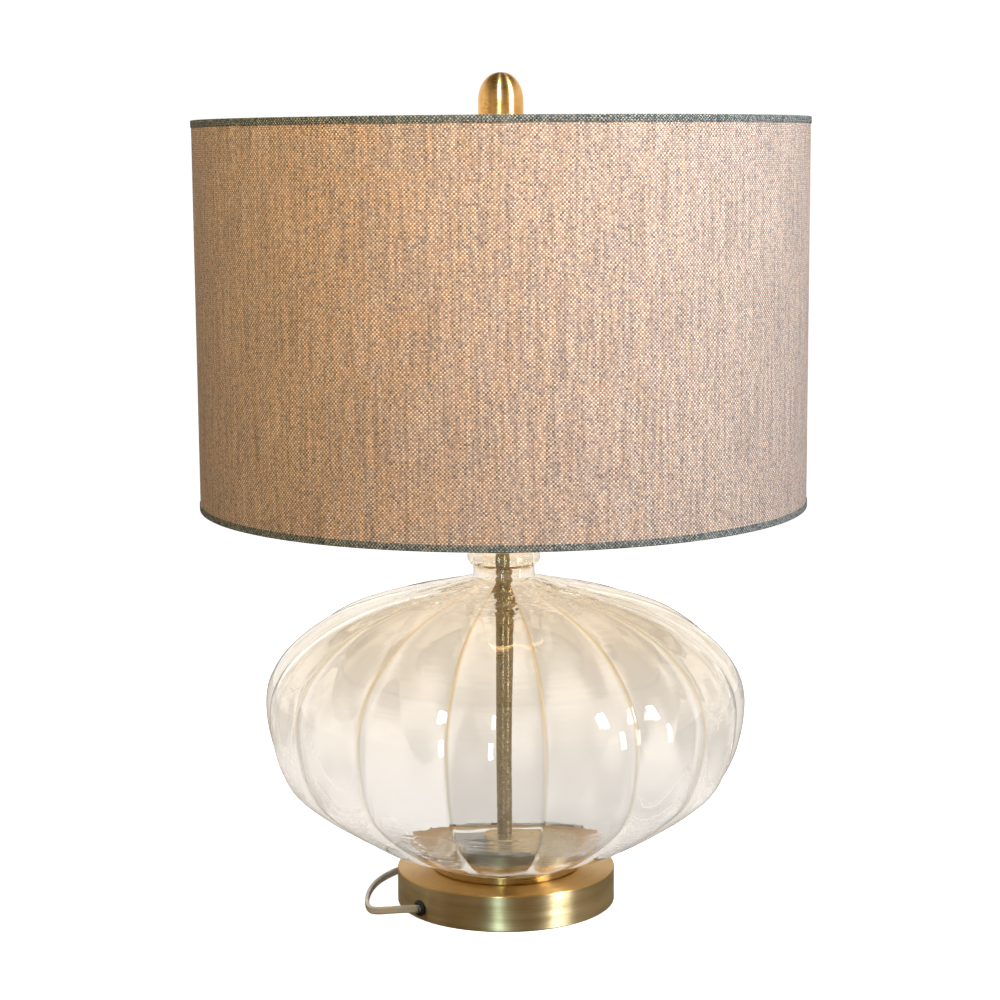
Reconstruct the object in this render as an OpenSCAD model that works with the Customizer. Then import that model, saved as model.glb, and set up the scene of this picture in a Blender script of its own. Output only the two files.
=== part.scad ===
// Table lamp: drum shade on a harp, clear ribbed glass body, round brass base.
// Millimetres. +Z is up, -Y is the lamp's front, and the origin is the middle
// of the felt pad's underside, on the table.

/* [Base] */
// Diameter of the round metal base
base_d = 149.5; // [130:0.5:190]
// Height of the base's top face above the table
base_h = 24.8; // [22:0.1:36]
// Wall of the spun base shell
base_wall = 1.2; // [0.8:0.1:2]
// Radius of the shell's outer top edge
base_edge_r = 1.2; // [0.4:0.1:2]
// Thickness of the felt pad
pad_t = 1; // [0.6:0.1:2]
// Thickness of the iron weight under the shell's top
weight_t = 9; // [4:0.5:9]

/* [Seat] */
// Diameter of the brass plate the glass stands on
seat_d = 102; // [90:1:125]
// Thickness of that plate
seat_t = 4.8; // [3:0.1:8]
// Shadow gap under the plate's rim
seat_gap = 0.4; // [0.2:0.1:1]

/* [Glass body] */
// Greatest diameter of the glass, over the crests of its lobes
glass_d = 327; // [270:1:400]
// Height of the glass from its foot to the root of its neck
glass_h = 195; // [160:1:240]
// Wall of the glass
glass_wall = 3.2; // [2.4:0.1:4]
// Thickness of the glass floor
floor_t = 4.5; // [3:0.1:6]
// Number of lobes round the glass
lobes = 16; // [8:1:24]
// Depth of the creases between the lobes
lobe_depth = 4.5; // [1:0.1:8]
// Outer diameter of the glass neck
neck_d = 41.6; // [36:0.1:52]
// Height of the neck with its lip
neck_h = 20; // [16:0.5:28]
// How far the rolled lip stands out from the neck
lip_over = 4; // [2:0.1:8]

/* [Stem] */
// Outer diameter of the threaded pipe through the lamp
pipe_d = 10; // [9:0.1:11]
// Bore of the pipe
pipe_bore = 6.9; // [6.9:0.1:7.2]
// Wall of the brass tube round the pipe
tube_wall = 0.7; // [0.5:0.1:1.5]
// Diameter of the brass disc at the tube's foot
collar_d = 36.6; // [26:0.1:44]

/* [Socket and bulb] */
// Outer diameter of the socket shell
socket_d = 33.6; // [32:0.1:36]
// Height of the socket shell above its cap
socket_h = 42; // [40:0.5:50]
// Diameter of the bulb's screw base
bulb_screw_d = 26; // [26:0.1:27]
// Greatest diameter of the bulb
bulb_d = 60; // [45:1:64]
// Length of the bulb
bulb_len = 105; // [95:1:110]

/* [Harp] */
// Height of the harp from its saddle to its swivel
harp_h = 258; // [240:1:290]
// Greatest width of the harp, middle to middle of the wire
harp_w = 113; // [96:1:140]
// Diameter of the harp wire
harp_wire_d = 3.8; // [3:0.1:5]
// Distance between the harp's feet
foot_gap = 54.4; // [50:0.1:56]

/* [Shade] */
// Outer diameter of the drum shade over its fabric
shade_d = 406.4; // [340:0.1:480]
// Height of the drum shade
shade_h = 256; // [200:0.5:300]
// How far the shade's hub lies below its top edge
hub_drop = 14.8; // [6:0.1:25]
// Thickness of the shade fabric
fabric_t = 0.6; // [0.4:0.1:1.2]
// Thickness of the stiff liner behind the fabric
liner_t = 0.6; // [0.4:0.1:1.2]
// Width of the woven hem round each edge
hem_w = 4.5; // [4:0.5:12]
// Diameter of the shade's steel wire
shade_wire_d = 2.8; // [2:0.1:4]
// Number of spider arms
arms = 3; // [3:1:4]

/* [Finial] */
// Diameter of the bullet-shaped finial
finial_d = 30; // [20:0.5:40]
// Height of the finial
finial_h = 42; // [30:0.5:60]

/* [Clearances] */
// Radial play of a part that turns or slides on another
run_gap = 0.05; // [0.02:0.01:0.1]
// Radial play of a hole round the pipe
hole_gap = 0.1; // [0.05:0.01:0.3]
// Space between loose neighbours
loose_gap = 0.35; // [0.3:0.05:0.6]

/* [Hidden] */
$fn = 96;

brass = [0.62, 0.52, 0.33];
tan_cloth = [0.68, 0.55, 0.42];
hem_grey = [0.35, 0.38, 0.38];
glass_tint = [0.90, 0.86, 0.78, 0.4];
clear_pvc = [0.80, 0.80, 0.78];
steel = [0.70, 0.70, 0.70];
rubber_black = [0.12, 0.12, 0.12];
phenolic = [0.10, 0.09, 0.09];
bulb_white = [0.96, 0.96, 0.94];

// Base stack, from the table up
base_r = base_d / 2;
shell_top_in = base_h - base_wall;
weight_z = shell_top_in - weight_t;
nut_af = pipe_d + 4;
nut_h = 4.5;
washer_r = 13;
washer_t = 1.2;
weight_margin = 3;
base_nut_z = weight_z - washer_t - nut_h;

// Cord outlet in the side of the base
cord_w = 5.3;
cord_t = 2.8;
outlet_turn = -141;
outlet_z = 8.4;
grommet_r = 4.4;
grommet_bore = cord_w / 2 + 0.15;
flange_r = 5.5;
flange_t = 1.6;

// Glass, standing on the seat plate's soft washer
seat_z = base_h + seat_gap;
seat_undercut = 4;
soft_r = 30;
soft_t = 1;
glass_z = seat_z + seat_t + soft_t;
glass_r = glass_d / 2;
glass_top = glass_z + glass_h;
lip_top = glass_top + neck_h;
neck_r = neck_d / 2;
neck_in_r = neck_r - glass_wall;
lip_r = neck_r + lip_over;
floor_z = glass_z + floor_t;
floor_hole_r = pipe_d / 2 + 1.6;
crease_turn = -81;
inner_crease = 0.7;
steps = 4 * lobes;

// Outline of the glass: per cent of its height and of its greatest radius
belly = [
    [0, 27], [1.5, 36], [4, 46], [7.5, 55.5], [13, 66.5], [20, 79], [28, 90], [36, 95.5],
    [44, 98.5], [52, 100], [60, 99.8], [67, 97], [74, 91.2], [81, 81.8], [87, 70],
    [92, 53.5], [96, 34], [99, 19]
];

// Stem and the parts clamped on the pipe above the glass
pipe_r = pipe_d / 2;
pipe_hole_r = pipe_r + hole_gap;
collar_z = floor_z + soft_t;
collar_t = 2.2;
tube_z = collar_z + collar_t;
tube_r = pipe_hole_r + tube_wall + hole_gap;
cap_z = lip_top + 0.8;
cap_t = 1.6;
cap_h = 5.2;
spigot_h = 2.6;
neck_nut_z = cap_z + cap_h;
neck_nut_h = 3.5;
saddle_z = neck_nut_z + neck_nut_h;
saddle_t = 1.6;
saddle_top = saddle_z + saddle_t;
pipe_top = saddle_top + 7;

// Socket
socket_r = socket_d / 2;
shell_wall = 0.6;
sleeve_t = 0.8;
cap_rim_z = saddle_top + 23;
insert_z = saddle_top + 20;
insert_h = 17;
insert_r = socket_r - shell_wall - sleeve_t - 0.8;
shell_z = cap_rim_z - 4;
shell_top = cap_rim_z + socket_h;
screw_z = insert_z + insert_h;
screw_h = 22;
screw_wall = 0.5;
screw_in_r = bulb_screw_d / 2 + loose_gap;
knob_z = insert_z + 9;
shaft_r = 1.6;
shaft_out = 9;
shaft_clear_r = 2.4;
bead_h = 1.2;

// Bulb, its screw base inside the socket
tip_z = screw_z + 3.4;
bulb_r = bulb_d / 2;
bulb_screw_r = bulb_screw_d / 2;
bulb_screw_z = tip_z + 5.5;
bulb_screw_top = bulb_screw_z + 20;
bulb_top = tip_z + bulb_len;
housing_top = bulb_top - 50;
rim_r = bulb_r - 1;

// Harp, standing in the saddle
harp_z = saddle_top;
wire_r = harp_wire_d / 2;
foot_x = foot_gap / 2;
foot_r = 4;
foot_h = 13;
tab_w = 6;
tab_h = 10;
foot_margin = 1.2;
sleeve_wall = 0.8;
sleeve_cap = 1.5;
swivel_z = harp_z + harp_h;
boss_h = harp_wire_d + 2.2;
boss_z = swivel_z - 1 - loose_gap - boss_h / 2;
pivot_r = 2.5;
rivet_r = 4.2;
rivet_t = 2;
stud_r = 3.15;
stud_len = 19;
rest_r = 9.5;
rest_t = 3.2;

// Shade hanging from its hub on the swivel's rest
hub_z = swivel_z + rest_t;
hub_r = 15;
hub_t = shade_wire_d + 0.4;
arm_bend = 16;
shade_top = hub_z + hub_drop;
shade_z = shade_top - shade_h;
shade_r = shade_d / 2;
liner_r = shade_r - fabric_t;
wire_ring_r = liner_r - liner_t - shade_wire_d / 2 - 0.1;
shade_wire_r = shade_wire_d / 2;
hem_t = 0.5;
hem_in_r = wire_ring_r - shade_wire_r - 0.3;
ring_z = shade_top - hem_t - 0.2 - shade_wire_r;
finial_z = hub_z + hub_t;
finial_r = finial_d / 2;

// Route of the lead inside the base and pipe: distance out from the axis, height
lead_route = [
    [76, 8.4], [68, 8.4], [56, 7.2], [42, 5], [28, 3.5], [18, 3.1], [12, 3.1], [8, 3.5],
    [4.8, 4.8], [2.6, 6.7], [1.3, 9], [0.5, 12], [0, 16], [0, 60], [0, 160], [0, 277]
];
lead_d = 3.6;

// Route of the cord from the grommet round the left of the base to the back
run_route = [
    [-59.3, -48, 8.4], [-64, -50.2, 8.8], [-70, -51.4, 9], [-76.5, -50.6, 8.4], [-83, -47.6, 7],
    [-88.6, -42, 5.2], [-92.4, -34.6, 3.8], [-94.6, -25, 3], [-95.6, -14, 2.7], [-95.6, -2, 2.7],
    [-94.4, 12, 2.7], [-91.6, 26, 2.7], [-87, 39, 2.7], [-80, 51.6, 2.8], [-70.4, 63, 3],
    [-59, 71.6, 3.2], [-48, 76.6, 3.3], [-36, 78, 3.3]
];

// Hank: turns stand on edge, three beside each other in two layers
hank_run = 72;
hank_fold = 6 * cord_w;
hank_cols = 3;
hank_layers = 2;
hank_pitch = 2.9;
tie_t = 0.6;
tie_w = 9;
tie_x = -8;
hank_w = hank_fold + 2 * (hank_cols - 1) * hank_pitch;
hank_y = 78 + hank_w / 2;
hank_in_w = hank_fold - cord_t;
hank_top = tie_t + hank_layers * cord_w + 0.2;

// Tail from the hank's inner turn to the plug, lying inside the hank
tail_route = [
    [-36, 84, 8.6], [-31.5, 84.4, 8.6], [-27, 86.6, 8.4], [-22, 91, 7.8], [-17.5, 95.6, 7],
    [-12.5, 98.8, 6.4], [-7, 99.8, 6.2], [-2, 99.8, 6.2]
];
plug_x = -2;
plug_y = 99.8;
plug_z = 6.2;
plug_w = 21;
plug_t = 12;
plug_len = 20;
relief_len = 12;
blade_w = 6.35;
blade_t = 1.5;
blade_len = 17;
blade_gap = 12.7;

function unit(v) = v / norm(v);

// Catmull-Rom curve through a list of points, n steps between two points
function spline(p, n) = let (last = len(p) - 1) [
    for (i = [0:last - 1], s = [0:n - 1])
        let (t = s / n, a = p[max(i - 1, 0)], b = p[i], c = p[i + 1], d = p[min(i + 2, last)])
        (2 * b + (c - a) * t + (2 * a - 5 * b + 4 * c - d) * t * t
            + (3 * b - a - 3 * c + d) * t * t * t) / 2,
    p[last]
];

// Direction of a path at point i
function along(p, i) = unit(p[min(i + 1, len(p) - 1)] - p[max(i - 1, 0)]);

// Tube along a path: t is its size across ref, w its size along ref
module tube_along(p, t, w, sides, ref) {
    n = len(p);
    points = [
        for (i = [0:n - 1], k = [0:sides - 1])
            let (dir = along(p, i), side = unit(cross(dir, ref)), up = cross(side, dir),
                a = 360 * (k + 0.5) / sides)
            p[i] + side * cos(a) * t / 2 + up * sin(a) * w / 2
    ];
    skin = [
        for (i = [0:n - 2], k = [0:sides - 1])
            let (a = i * sides + k, b = i * sides + (k + 1) % sides, c = b + sides, d = a + sides)
            each [[a, b, c], [a, c, d]]
    ];
    ends = [[for (k = [sides - 1:-1:0]) k], [for (k = [0:sides - 1]) (n - 1) * sides + k]];
    polyhedron(points, concat(skin, ends), convexity = 6);
}

// Flat ring between two radii
module washer(r_out, r_in, h) {
    difference() {
        cylinder(h = h, r = r_out);
        translate([0, 0, -1]) cylinder(h = h + 2, r = r_in);
    }
}

// Hexagon nut on the pipe, its corners chamfered
module pipe_nut(h) {
    corner_r = nut_af / 2 / cos(30);
    difference() {
        intersection() {
            cylinder(h = h, r = corner_r, $fn = 6);
            translate([0, 0, -corner_r + 2])
                cylinder(h = h + corner_r - 2, r1 = 2 * corner_r, r2 = nut_af / 2);
        }
        translate([0, 0, -1]) cylinder(h = h + 2, r = pipe_hole_r);
    }
}

// Places a child at the cord outlet, +X pointing outwards through the wall
module at_outlet() {
    rotate([0, 0, outlet_turn]) translate([0, 0, outlet_z]) children();
}

module base_pad() {
    color([0.10, 0.10, 0.10]) cylinder(h = pad_t, r = base_r - base_wall);
}

module base_shell() {
    in_r = base_r - base_wall;
    color(brass) difference() {
        rotate_extrude() {
            translate([pipe_hole_r, shell_top_in]) square([base_r - base_edge_r - pipe_hole_r, base_wall]);
            translate([in_r, 0.5]) square([base_wall, base_h - base_edge_r - 0.5]);
            intersection() {
                translate([base_r - base_edge_r, base_h - base_edge_r]) circle(r = base_edge_r);
                translate([in_r - base_wall, shell_top_in - base_wall]) square(3 * base_wall);
            }
            translate([in_r - 0.3, shell_top_in - 0.3]) square([0.4, 0.4]);
        }
        at_outlet() rotate([0, 90, 0]) translate([0, 0, in_r - 5]) cylinder(h = 12, r = grommet_r + hole_gap);
    }
}

module base_weight() {
    color([0.20, 0.20, 0.21]) translate([0, 0, weight_z])
        washer(base_r - base_wall - weight_margin, pipe_hole_r + 0.4, weight_t);
}

module base_washer() {
    color(steel) translate([0, 0, weight_z - washer_t]) washer(washer_r, pipe_hole_r, washer_t);
}

module base_nut() {
    color(steel) translate([0, 0, base_nut_z]) pipe_nut(nut_h);
}

module cord_grommet() {
    inner_face = base_r - base_wall - 0.35;
    color(rubber_black) at_outlet() rotate([0, 90, 0]) difference() {
        union() {
            translate([0, 0, base_r]) cylinder(h = flange_t, r1 = flange_r, r2 = flange_r - 0.7);
            translate([0, 0, inner_face - 1]) cylinder(h = base_r - inner_face + 1.5, r = grommet_r);
            translate([0, 0, inner_face - 1.8]) cylinder(h = 1.8, r = flange_r);
        }
        translate([0, 0, inner_face - 3]) cylinder(h = 9, r = grommet_bore);
    }
}

module seat_plate() {
    color(brass) translate([0, 0, base_h]) difference() {
        union() {
            cylinder(h = seat_gap, r = seat_d / 2 - seat_undercut);
            translate([0, 0, seat_gap]) cylinder(h = seat_t, r = seat_d / 2);
        }
        translate([0, 0, -1]) cylinder(h = seat_t + 3, r = pipe_hole_r);
    }
}

module seat_washer() {
    color([0.85, 0.85, 0.82]) translate([0, 0, seat_z + seat_t]) washer(soft_r, pipe_hole_r, soft_t);
}

// Depth of the creases fades towards the neck and the foot
function crease(r) = sqrt(max(0, (r - neck_r) / (glass_r - neck_r)));

module glass_body() {
    body = [for (p = belly) [glass_r * p[1] / 100, glass_z + glass_h * p[0] / 100]];
    last = len(body) - 1;
    neck = [
        [neck_r + 0.6, glass_top + 0.4], [neck_r, glass_top + 2], [neck_r, glass_top + neck_h * 0.37],
        [lip_r - 1.6, glass_top + neck_h * 0.5], [lip_r, glass_top + neck_h * 0.73],
        [lip_r - 0.6, glass_top + neck_h * 0.88], [lip_r - 2.4, lip_top - 0.4], [lip_r - 4.4, lip_top],
        [neck_in_r + 0.8, lip_top - 0.8], [neck_in_r, lip_top - 2.4], [neck_in_r, glass_top - 1.4]
    ];
    lining = [
        for (i = [last - 1:-1:1])
            let (dir = unit(body[i + 1] - body[i - 1]))
            [body[i][0] - dir[1] * glass_wall, max(body[i][1] + dir[0] * glass_wall, floor_z)]
    ];
    outline = concat(
        [[floor_hole_r, glass_z, 0]],
        [for (q = body) [q[0], q[1], crease(q[0])]],
        [for (q = neck) [q[0], q[1], 0]],
        [for (q = lining) [q[0], q[1], inner_crease * crease(q[0])]],
        [[collar_d / 2 + 2, floor_z, 0], [floor_hole_r, floor_z, 0]]
    );
    n = len(outline);
    points = [
        for (i = [0:steps - 1], q = outline)
            let (a = 360 * i / steps, r = q[0] - lobe_depth * q[2] * (1 - abs(sin(a * lobes / 2))))
            [r * cos(a + crease_turn), r * sin(a + crease_turn), q[1]]
    ];
    faces = [
        for (i = [0:steps - 1], k = [0:n - 1])
            let (j = (i + 1) % steps, m = (k + 1) % n,
                a = i * n + k, b = j * n + k, c = j * n + m, d = i * n + m)
            each [[a, c, b], [a, d, c]]
    ];
    color(glass_tint) polyhedron(points, faces, convexity = 10);
}

module floor_washer() {
    color([0.85, 0.85, 0.82]) translate([0, 0, floor_z]) washer(collar_d / 2 - 2, pipe_hole_r, soft_t);
}

module stem_collar() {
    color(brass) translate([0, 0, collar_z]) washer(collar_d / 2, pipe_hole_r, collar_t);
}

module stem_tube() {
    color(brass) translate([0, 0, tube_z]) washer(tube_r, pipe_hole_r, cap_z - tube_z);
}

module threaded_pipe() {
    color(steel) translate([0, 0, base_nut_z]) washer(pipe_r, pipe_bore / 2, pipe_top - base_nut_z);
}

module neck_gasket() {
    color([0.85, 0.85, 0.82]) translate([0, 0, lip_top]) washer(lip_r - 2, neck_in_r + 1, cap_z - lip_top);
}

module neck_cap() {
    flange = lip_r - 0.6;
    spigot_r = neck_in_r - 0.8;
    color(brass) rotate_extrude() difference() {
        union() {
            translate([0, cap_z]) polygon([
                [pipe_hole_r, 0], [flange, 0], [flange, cap_t], [nut_af / 2 + 5, cap_h], [pipe_hole_r, cap_h]
            ]);
            translate([spigot_r - cap_t, cap_z - spigot_h]) square([cap_t, spigot_h + 0.5]);
        }
        translate([0, cap_z - 10]) square([pipe_hole_r, 30]);
    }
}

module neck_nut() {
    color(brass) translate([0, 0, neck_nut_z]) pipe_nut(neck_nut_h);
}

// The saddle's strap and the two tabs that the harp's feet drop over
module harp_saddle() {
    color(brass) {
        difference() {
            union() {
                translate([-foot_x, -foot_r - foot_margin, saddle_z])
                    cube([foot_gap, 2 * (foot_r + foot_margin), saddle_t]);
                for (side = [-1, 1])
                    translate([side * foot_x, 0, saddle_z]) cylinder(h = saddle_t, r = foot_r + foot_margin);
            }
            translate([0, 0, saddle_z - 1]) cylinder(h = saddle_t + 2, r = pipe_hole_r);
        }
        for (side = [-1, 1])
            translate([side * foot_x - saddle_t / 2, -tab_w / 2, saddle_top - 0.5])
                cube([saddle_t, tab_w, tab_h + 0.5]);
    }
}

module socket_cap() {
    wall = 0.8;
    collar_r = pipe_r + 2.6;
    rim_in = socket_r + 0.1;
    color(brass) rotate_extrude() polygon([
        [pipe_hole_r, saddle_top], [collar_r, saddle_top], [collar_r, saddle_top + 7],
        [rim_in - 4, saddle_top + 10.5], [rim_in - 0.8, saddle_top + 13.5], [rim_in + wall, saddle_top + 17],
        [rim_in + wall, cap_rim_z], [rim_in, cap_rim_z], [rim_in, saddle_top + 17.4],
        [rim_in - 1.4, saddle_top + 14.2], [rim_in - 4.4, saddle_top + 11.3],
        [pipe_hole_r, saddle_top + 7.8]
    ]);
}

// Moulded block that carries the switch, the terminals and the screw shell
module socket_insert() {
    color(phenolic) difference() {
        translate([0, 0, insert_z]) cylinder(h = insert_h, r = insert_r);
        translate([0, 1, knob_z]) rotate([90, 0, 0]) cylinder(h = insert_r + 2, r = shaft_r + run_gap);
        for (side = [-1, 1])
            translate([side * (insert_r + 1), 0, knob_z]) cube([7, 9, 9], center = true);
    }
}

module terminal_screws() {
    face = insert_r - 2.5;
    color(brass) for (side = [-1, 1])
        translate([side * face, 0, knob_z]) rotate([0, side * 90, 0]) difference() {
            cylinder(h = 1.8, r = 3);
            translate([-4, -0.4, 1.1]) cube([8, 0.8, 2]);
        }
}

module socket_screw_shell() {
    out_r = screw_in_r + screw_wall;
    color(brass) translate([0, 0, screw_z]) rotate_extrude() {
        translate([screw_in_r, 0]) square([screw_wall, screw_h]);
        translate([6, 0]) square([out_r - 6, screw_wall]);
        for (k = [1:5]) translate([out_r - 0.1, 3.2 * k]) square([0.4, 1.4]);
    }
}

module socket_contact() {
    color(brass) translate([0, 0, screw_z]) {
        cylinder(h = 1.2, r = 5);
        translate([0, 0, 1]) cylinder(h = 2, r1 = 3.5, r2 = 2.5);
    }
}

// Round hole through the socket's front wall for the switch shaft
module shaft_hole(r) {
    translate([0, -socket_r + 4, knob_z]) rotate([90, 0, 0]) cylinder(h = 8, r = r);
}

module socket_sleeve() {
    r = socket_r - shell_wall - 0.1;
    color([0.72, 0.62, 0.45]) difference() {
        translate([0, 0, shell_z]) washer(r, r - sleeve_t, shell_top - shell_z - 1);
        shaft_hole(shaft_clear_r);
    }
}

module socket_shell() {
    color(brass) difference() {
        translate([0, 0, shell_z]) union() {
            washer(socket_r, socket_r - shell_wall, shell_top - shell_z);
            translate([0, 0, 4]) washer(socket_r + 0.9, socket_r - shell_wall / 2, bead_h);
            translate([0, 0, shell_top - shell_z - bead_h])
                washer(socket_r + 0.6, socket_r - shell_wall / 2, bead_h);
        }
        shaft_hole(shaft_clear_r);
    }
}

module switch_shaft() {
    color(steel) translate([0, -3, knob_z]) rotate([90, 0, 0]) cylinder(h = socket_r + shaft_out, r = shaft_r);
}

module switch_knob() {
    grip_r = 4.6;
    start = socket_r + 3;
    length = 12;
    color(phenolic) translate([0, -start, knob_z]) rotate([90, 0, 0]) difference() {
        union() {
            cylinder(h = 2, r = grip_r + 0.6);
            translate([0, 0, 1]) cylinder(h = length - 1, r1 = grip_r, r2 = grip_r - 0.8);
        }
        translate([0, 0, -1]) cylinder(h = 4 + socket_r + shaft_out - start, r = shaft_r);
        for (k = [0:11]) rotate([0, 0, 30 * k]) translate([grip_r + 0.1, 0, 3]) cylinder(h = length, r = 0.6);
    }
}

module bulb_tip() {
    color(brass) translate([0, 0, tip_z]) cylinder(h = 1.5, r1 = 4, r2 = 5);
}

module bulb_insulator() {
    color(phenolic) translate([0, 0, tip_z + 1.5]) cylinder(h = 4, r1 = 6, r2 = bulb_screw_r - 2);
}

module bulb_screw_base() {
    wall = 0.6;
    core_r = bulb_screw_r - 0.6;
    color(steel) translate([0, 0, bulb_screw_z]) rotate_extrude() {
        translate([core_r - wall, 0]) square([wall, 20]);
        translate([core_r - 3.5, 0]) square([3.5, wall]);
        for (k = [0:4]) translate([core_r - 0.1, 2 + 3.2 * k])
            polygon([[0, 0], [0.7, 0.8], [0.7, 1.2], [0, 2]]);
    }
}

module bulb_housing() {
    wall = 1.6;
    root_r = bulb_screw_r - 1.3;
    color(bulb_white) rotate_extrude() polygon([
        [root_r - wall, bulb_screw_z + 14], [root_r, bulb_screw_z + 14], [root_r, bulb_screw_top],
        [root_r + 1.2, bulb_screw_top], [root_r + 3, bulb_screw_top + 5], [rim_r - 4, housing_top - 9],
        [rim_r, housing_top], [rim_r - wall, housing_top], [rim_r - wall - 4, housing_top - 8.4],
        [root_r + 1.2, bulb_screw_top + 5.4], [root_r - wall, bulb_screw_top + 2]
    ]);
}

module bulb_led_board() {
    board_r = rim_r - 3.4;
    color(steel) translate([0, 0, housing_top]) {
        cylinder(h = 1.6, r = board_r);
        for (k = [0:7]) rotate([0, 0, 45 * k])
            translate([board_r * 0.62 - 1.5, -1.5, 1.5]) cube([3, 3, 0.8]);
    }
}

module bulb_diffuser() {
    wall = 1.2;
    dome_z = bulb_top - bulb_r;
    color(bulb_white) difference() {
        union() {
            translate([0, 0, dome_z]) sphere(r = bulb_r);
            translate([0, 0, housing_top]) cylinder(h = dome_z - housing_top, r1 = rim_r, r2 = bulb_r);
        }
        translate([0, 0, dome_z]) sphere(r = bulb_r - wall);
        translate([0, 0, housing_top - 1])
            cylinder(h = dome_z - housing_top + 1, r1 = rim_r - wall, r2 = bulb_r - wall);
        translate([0, 0, housing_top - bulb_d]) cylinder(h = bulb_d, r = bulb_d);
    }
}

// Right half of the harp, from foot to top: share of the bulge, per cent of the height
harp_half = [
    [0, 5], [0, 10], [0, 14], [0.08, 21], [0.42, 33.5], [0.80, 46.5], [1, 61],
    [0.92, 75], [0.58, 87.5], [0.2, 95], [-0.2, 98], [-0.55, 99.3]
];

function harp_point(p, side) =
    [side * (foot_x + p[0] * (harp_w / 2 - foot_x)), 0, harp_z + p[1] / 100 * (boss_z - harp_z)];

module harp_frame() {
    right = [for (p = harp_half) harp_point(p, 1)];
    left = [for (i = [len(harp_half) - 1:-1:0]) harp_point(harp_half[i], -1)];
    slot = [saddle_t + 2 * loose_gap, tab_w + 2 * loose_gap, tab_h + 1];
    color(brass) {
        difference() {
            union() {
                tube_along(spline(concat(right, left), 3), harp_wire_d, harp_wire_d, 10, [0, 1, 0]);
                translate([0, 0, boss_z - boss_h / 2]) cylinder(h = boss_h, r = 6);
            }
            translate([0, 0, boss_z - boss_h]) cylinder(h = 2 * boss_h, r = pivot_r + run_gap);
        }
        for (side = [-1, 1]) translate([side * foot_x, 0, harp_z]) difference() {
            cylinder(h = foot_h, r = foot_r);
            translate([-slot[0] / 2, -slot[1] / 2, -1]) cube(slot);
        }
    }
}

// Locking sleeve that drops over a foot of the harp
module harp_sleeve(side) {
    out_r = foot_r + loose_gap + sleeve_wall;
    color(brass) translate([side * foot_x, 0, harp_z + 1]) difference() {
        union() {
            cylinder(h = foot_h - 1 + sleeve_cap, r = out_r);
            cylinder(h = 1.6, r = out_r + 0.5);
        }
        translate([0, 0, -1]) cylinder(h = foot_h, r = foot_r + loose_gap);
        translate([0, 0, 1]) cylinder(h = foot_h + 5, r = wire_r + loose_gap);
    }
}

module harp_sleeve_left() { harp_sleeve(-1); }

module harp_sleeve_right() { harp_sleeve(1); }

// Swivel: rivet head, pivot, the rest that carries the shade, threaded stud
module harp_swivel() {
    head_z = boss_z - boss_h / 2 - rivet_t - loose_gap;
    color(brass) {
        translate([0, 0, head_z]) cylinder(h = rivet_t, r = rivet_r);
        translate([0, 0, head_z]) cylinder(h = swivel_z - head_z, r = pivot_r);
        translate([0, 0, swivel_z - 1]) cylinder(h = rest_t + 1, r = rest_r);
        translate([0, 0, hub_z]) cylinder(h = stud_len, r = stud_r);
    }
}

// One spider arm: out from the hub, then up to the top ring
module spider_arm(r) {
    knee = wire_ring_r - arm_bend;
    start = hub_r - 3;
    arm_z = hub_z + hub_t / 2;
    rise = ring_z - arm_z;
    run = wire_ring_r - knee;
    translate([start, 0, arm_z]) rotate([0, 90, 0]) cylinder(h = knee - start, r = r);
    translate([knee, 0, arm_z]) {
        sphere(r = r + 0.2);
        rotate([0, atan2(run, rise), 0]) cylinder(h = norm([run, rise]), r = r);
    }
}

module shade_spider() {
    color(brass) difference() {
        union() {
            translate([0, 0, hub_z]) cylinder(h = hub_t, r = hub_r);
            for (k = [0:arms - 1]) rotate([0, 0, 90 + 360 * k / arms]) spider_arm(shade_wire_r);
        }
        translate([0, 0, hub_z - 5]) cylinder(h = 20, r = stud_r + loose_gap);
    }
}

// Ring of round wire inside an edge of the drum
module wire_ring() {
    rotate_extrude() translate([wire_ring_r, 0]) circle(r = shade_wire_r, $fn = 32);
}

module shade_top_ring() {
    color(steel) translate([0, 0, ring_z]) wire_ring();
}

module shade_bottom_ring() {
    color(steel) translate([0, 0, shade_z + shade_top - ring_z]) wire_ring();
}

module shade_liner() {
    color([0.93, 0.91, 0.86]) translate([0, 0, shade_z + hem_t])
        washer(liner_r, liner_r - liner_t, shade_h - 2 * hem_t, $fn = 180);
}

module shade_fabric() {
    color(tan_cloth) translate([0, 0, shade_z + hem_t])
        washer(shade_r, liner_r, shade_h - 2 * hem_t, $fn = 180);
}

// Hem folded over an edge of the drum and round its wire ring
module hem_band() {
    color(hem_grey) rotate_extrude($fn = 180) {
        translate([shade_r, 0]) square([hem_t, hem_w]);
        translate([hem_in_r - hem_t, 0]) square([shade_r + hem_t - hem_in_r + hem_t, hem_t]);
        translate([hem_in_r - hem_t, 0]) square([hem_t, shade_wire_d + 1.2]);
    }
}

module shade_hem_top() {
    color(hem_grey) difference() {
        translate([0, 0, shade_top]) mirror([0, 0, 1]) hem_band();
        for (k = [0:arms - 1]) rotate([0, 0, 90 + 360 * k / arms]) spider_arm(shade_wire_r + 0.2);
    }
}

module shade_hem_bottom() {
    translate([0, 0, shade_z]) hem_band();
}

module finial() {
    foot = 8;
    skirt = 7;
    dome = finial_r * 1.24;
    straight = finial_h - dome;
    color(brass) difference() {
        translate([0, 0, finial_z]) rotate_extrude() {
            square([foot, skirt]);
            polygon(concat(
                [[0, skirt - 2], [foot, skirt - 2], [finial_r - 1, skirt], [finial_r, skirt + 1.2]],
                [for (a = [0:6:90])
                    [finial_r * 0.99 * pow(cos(a), 0.9), straight + dome * sin(a)]]
            ));
        }
        translate([0, 0, finial_z - 1]) cylinder(h = stud_len + 2, r = stud_r + run_gap);
    }
}

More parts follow.
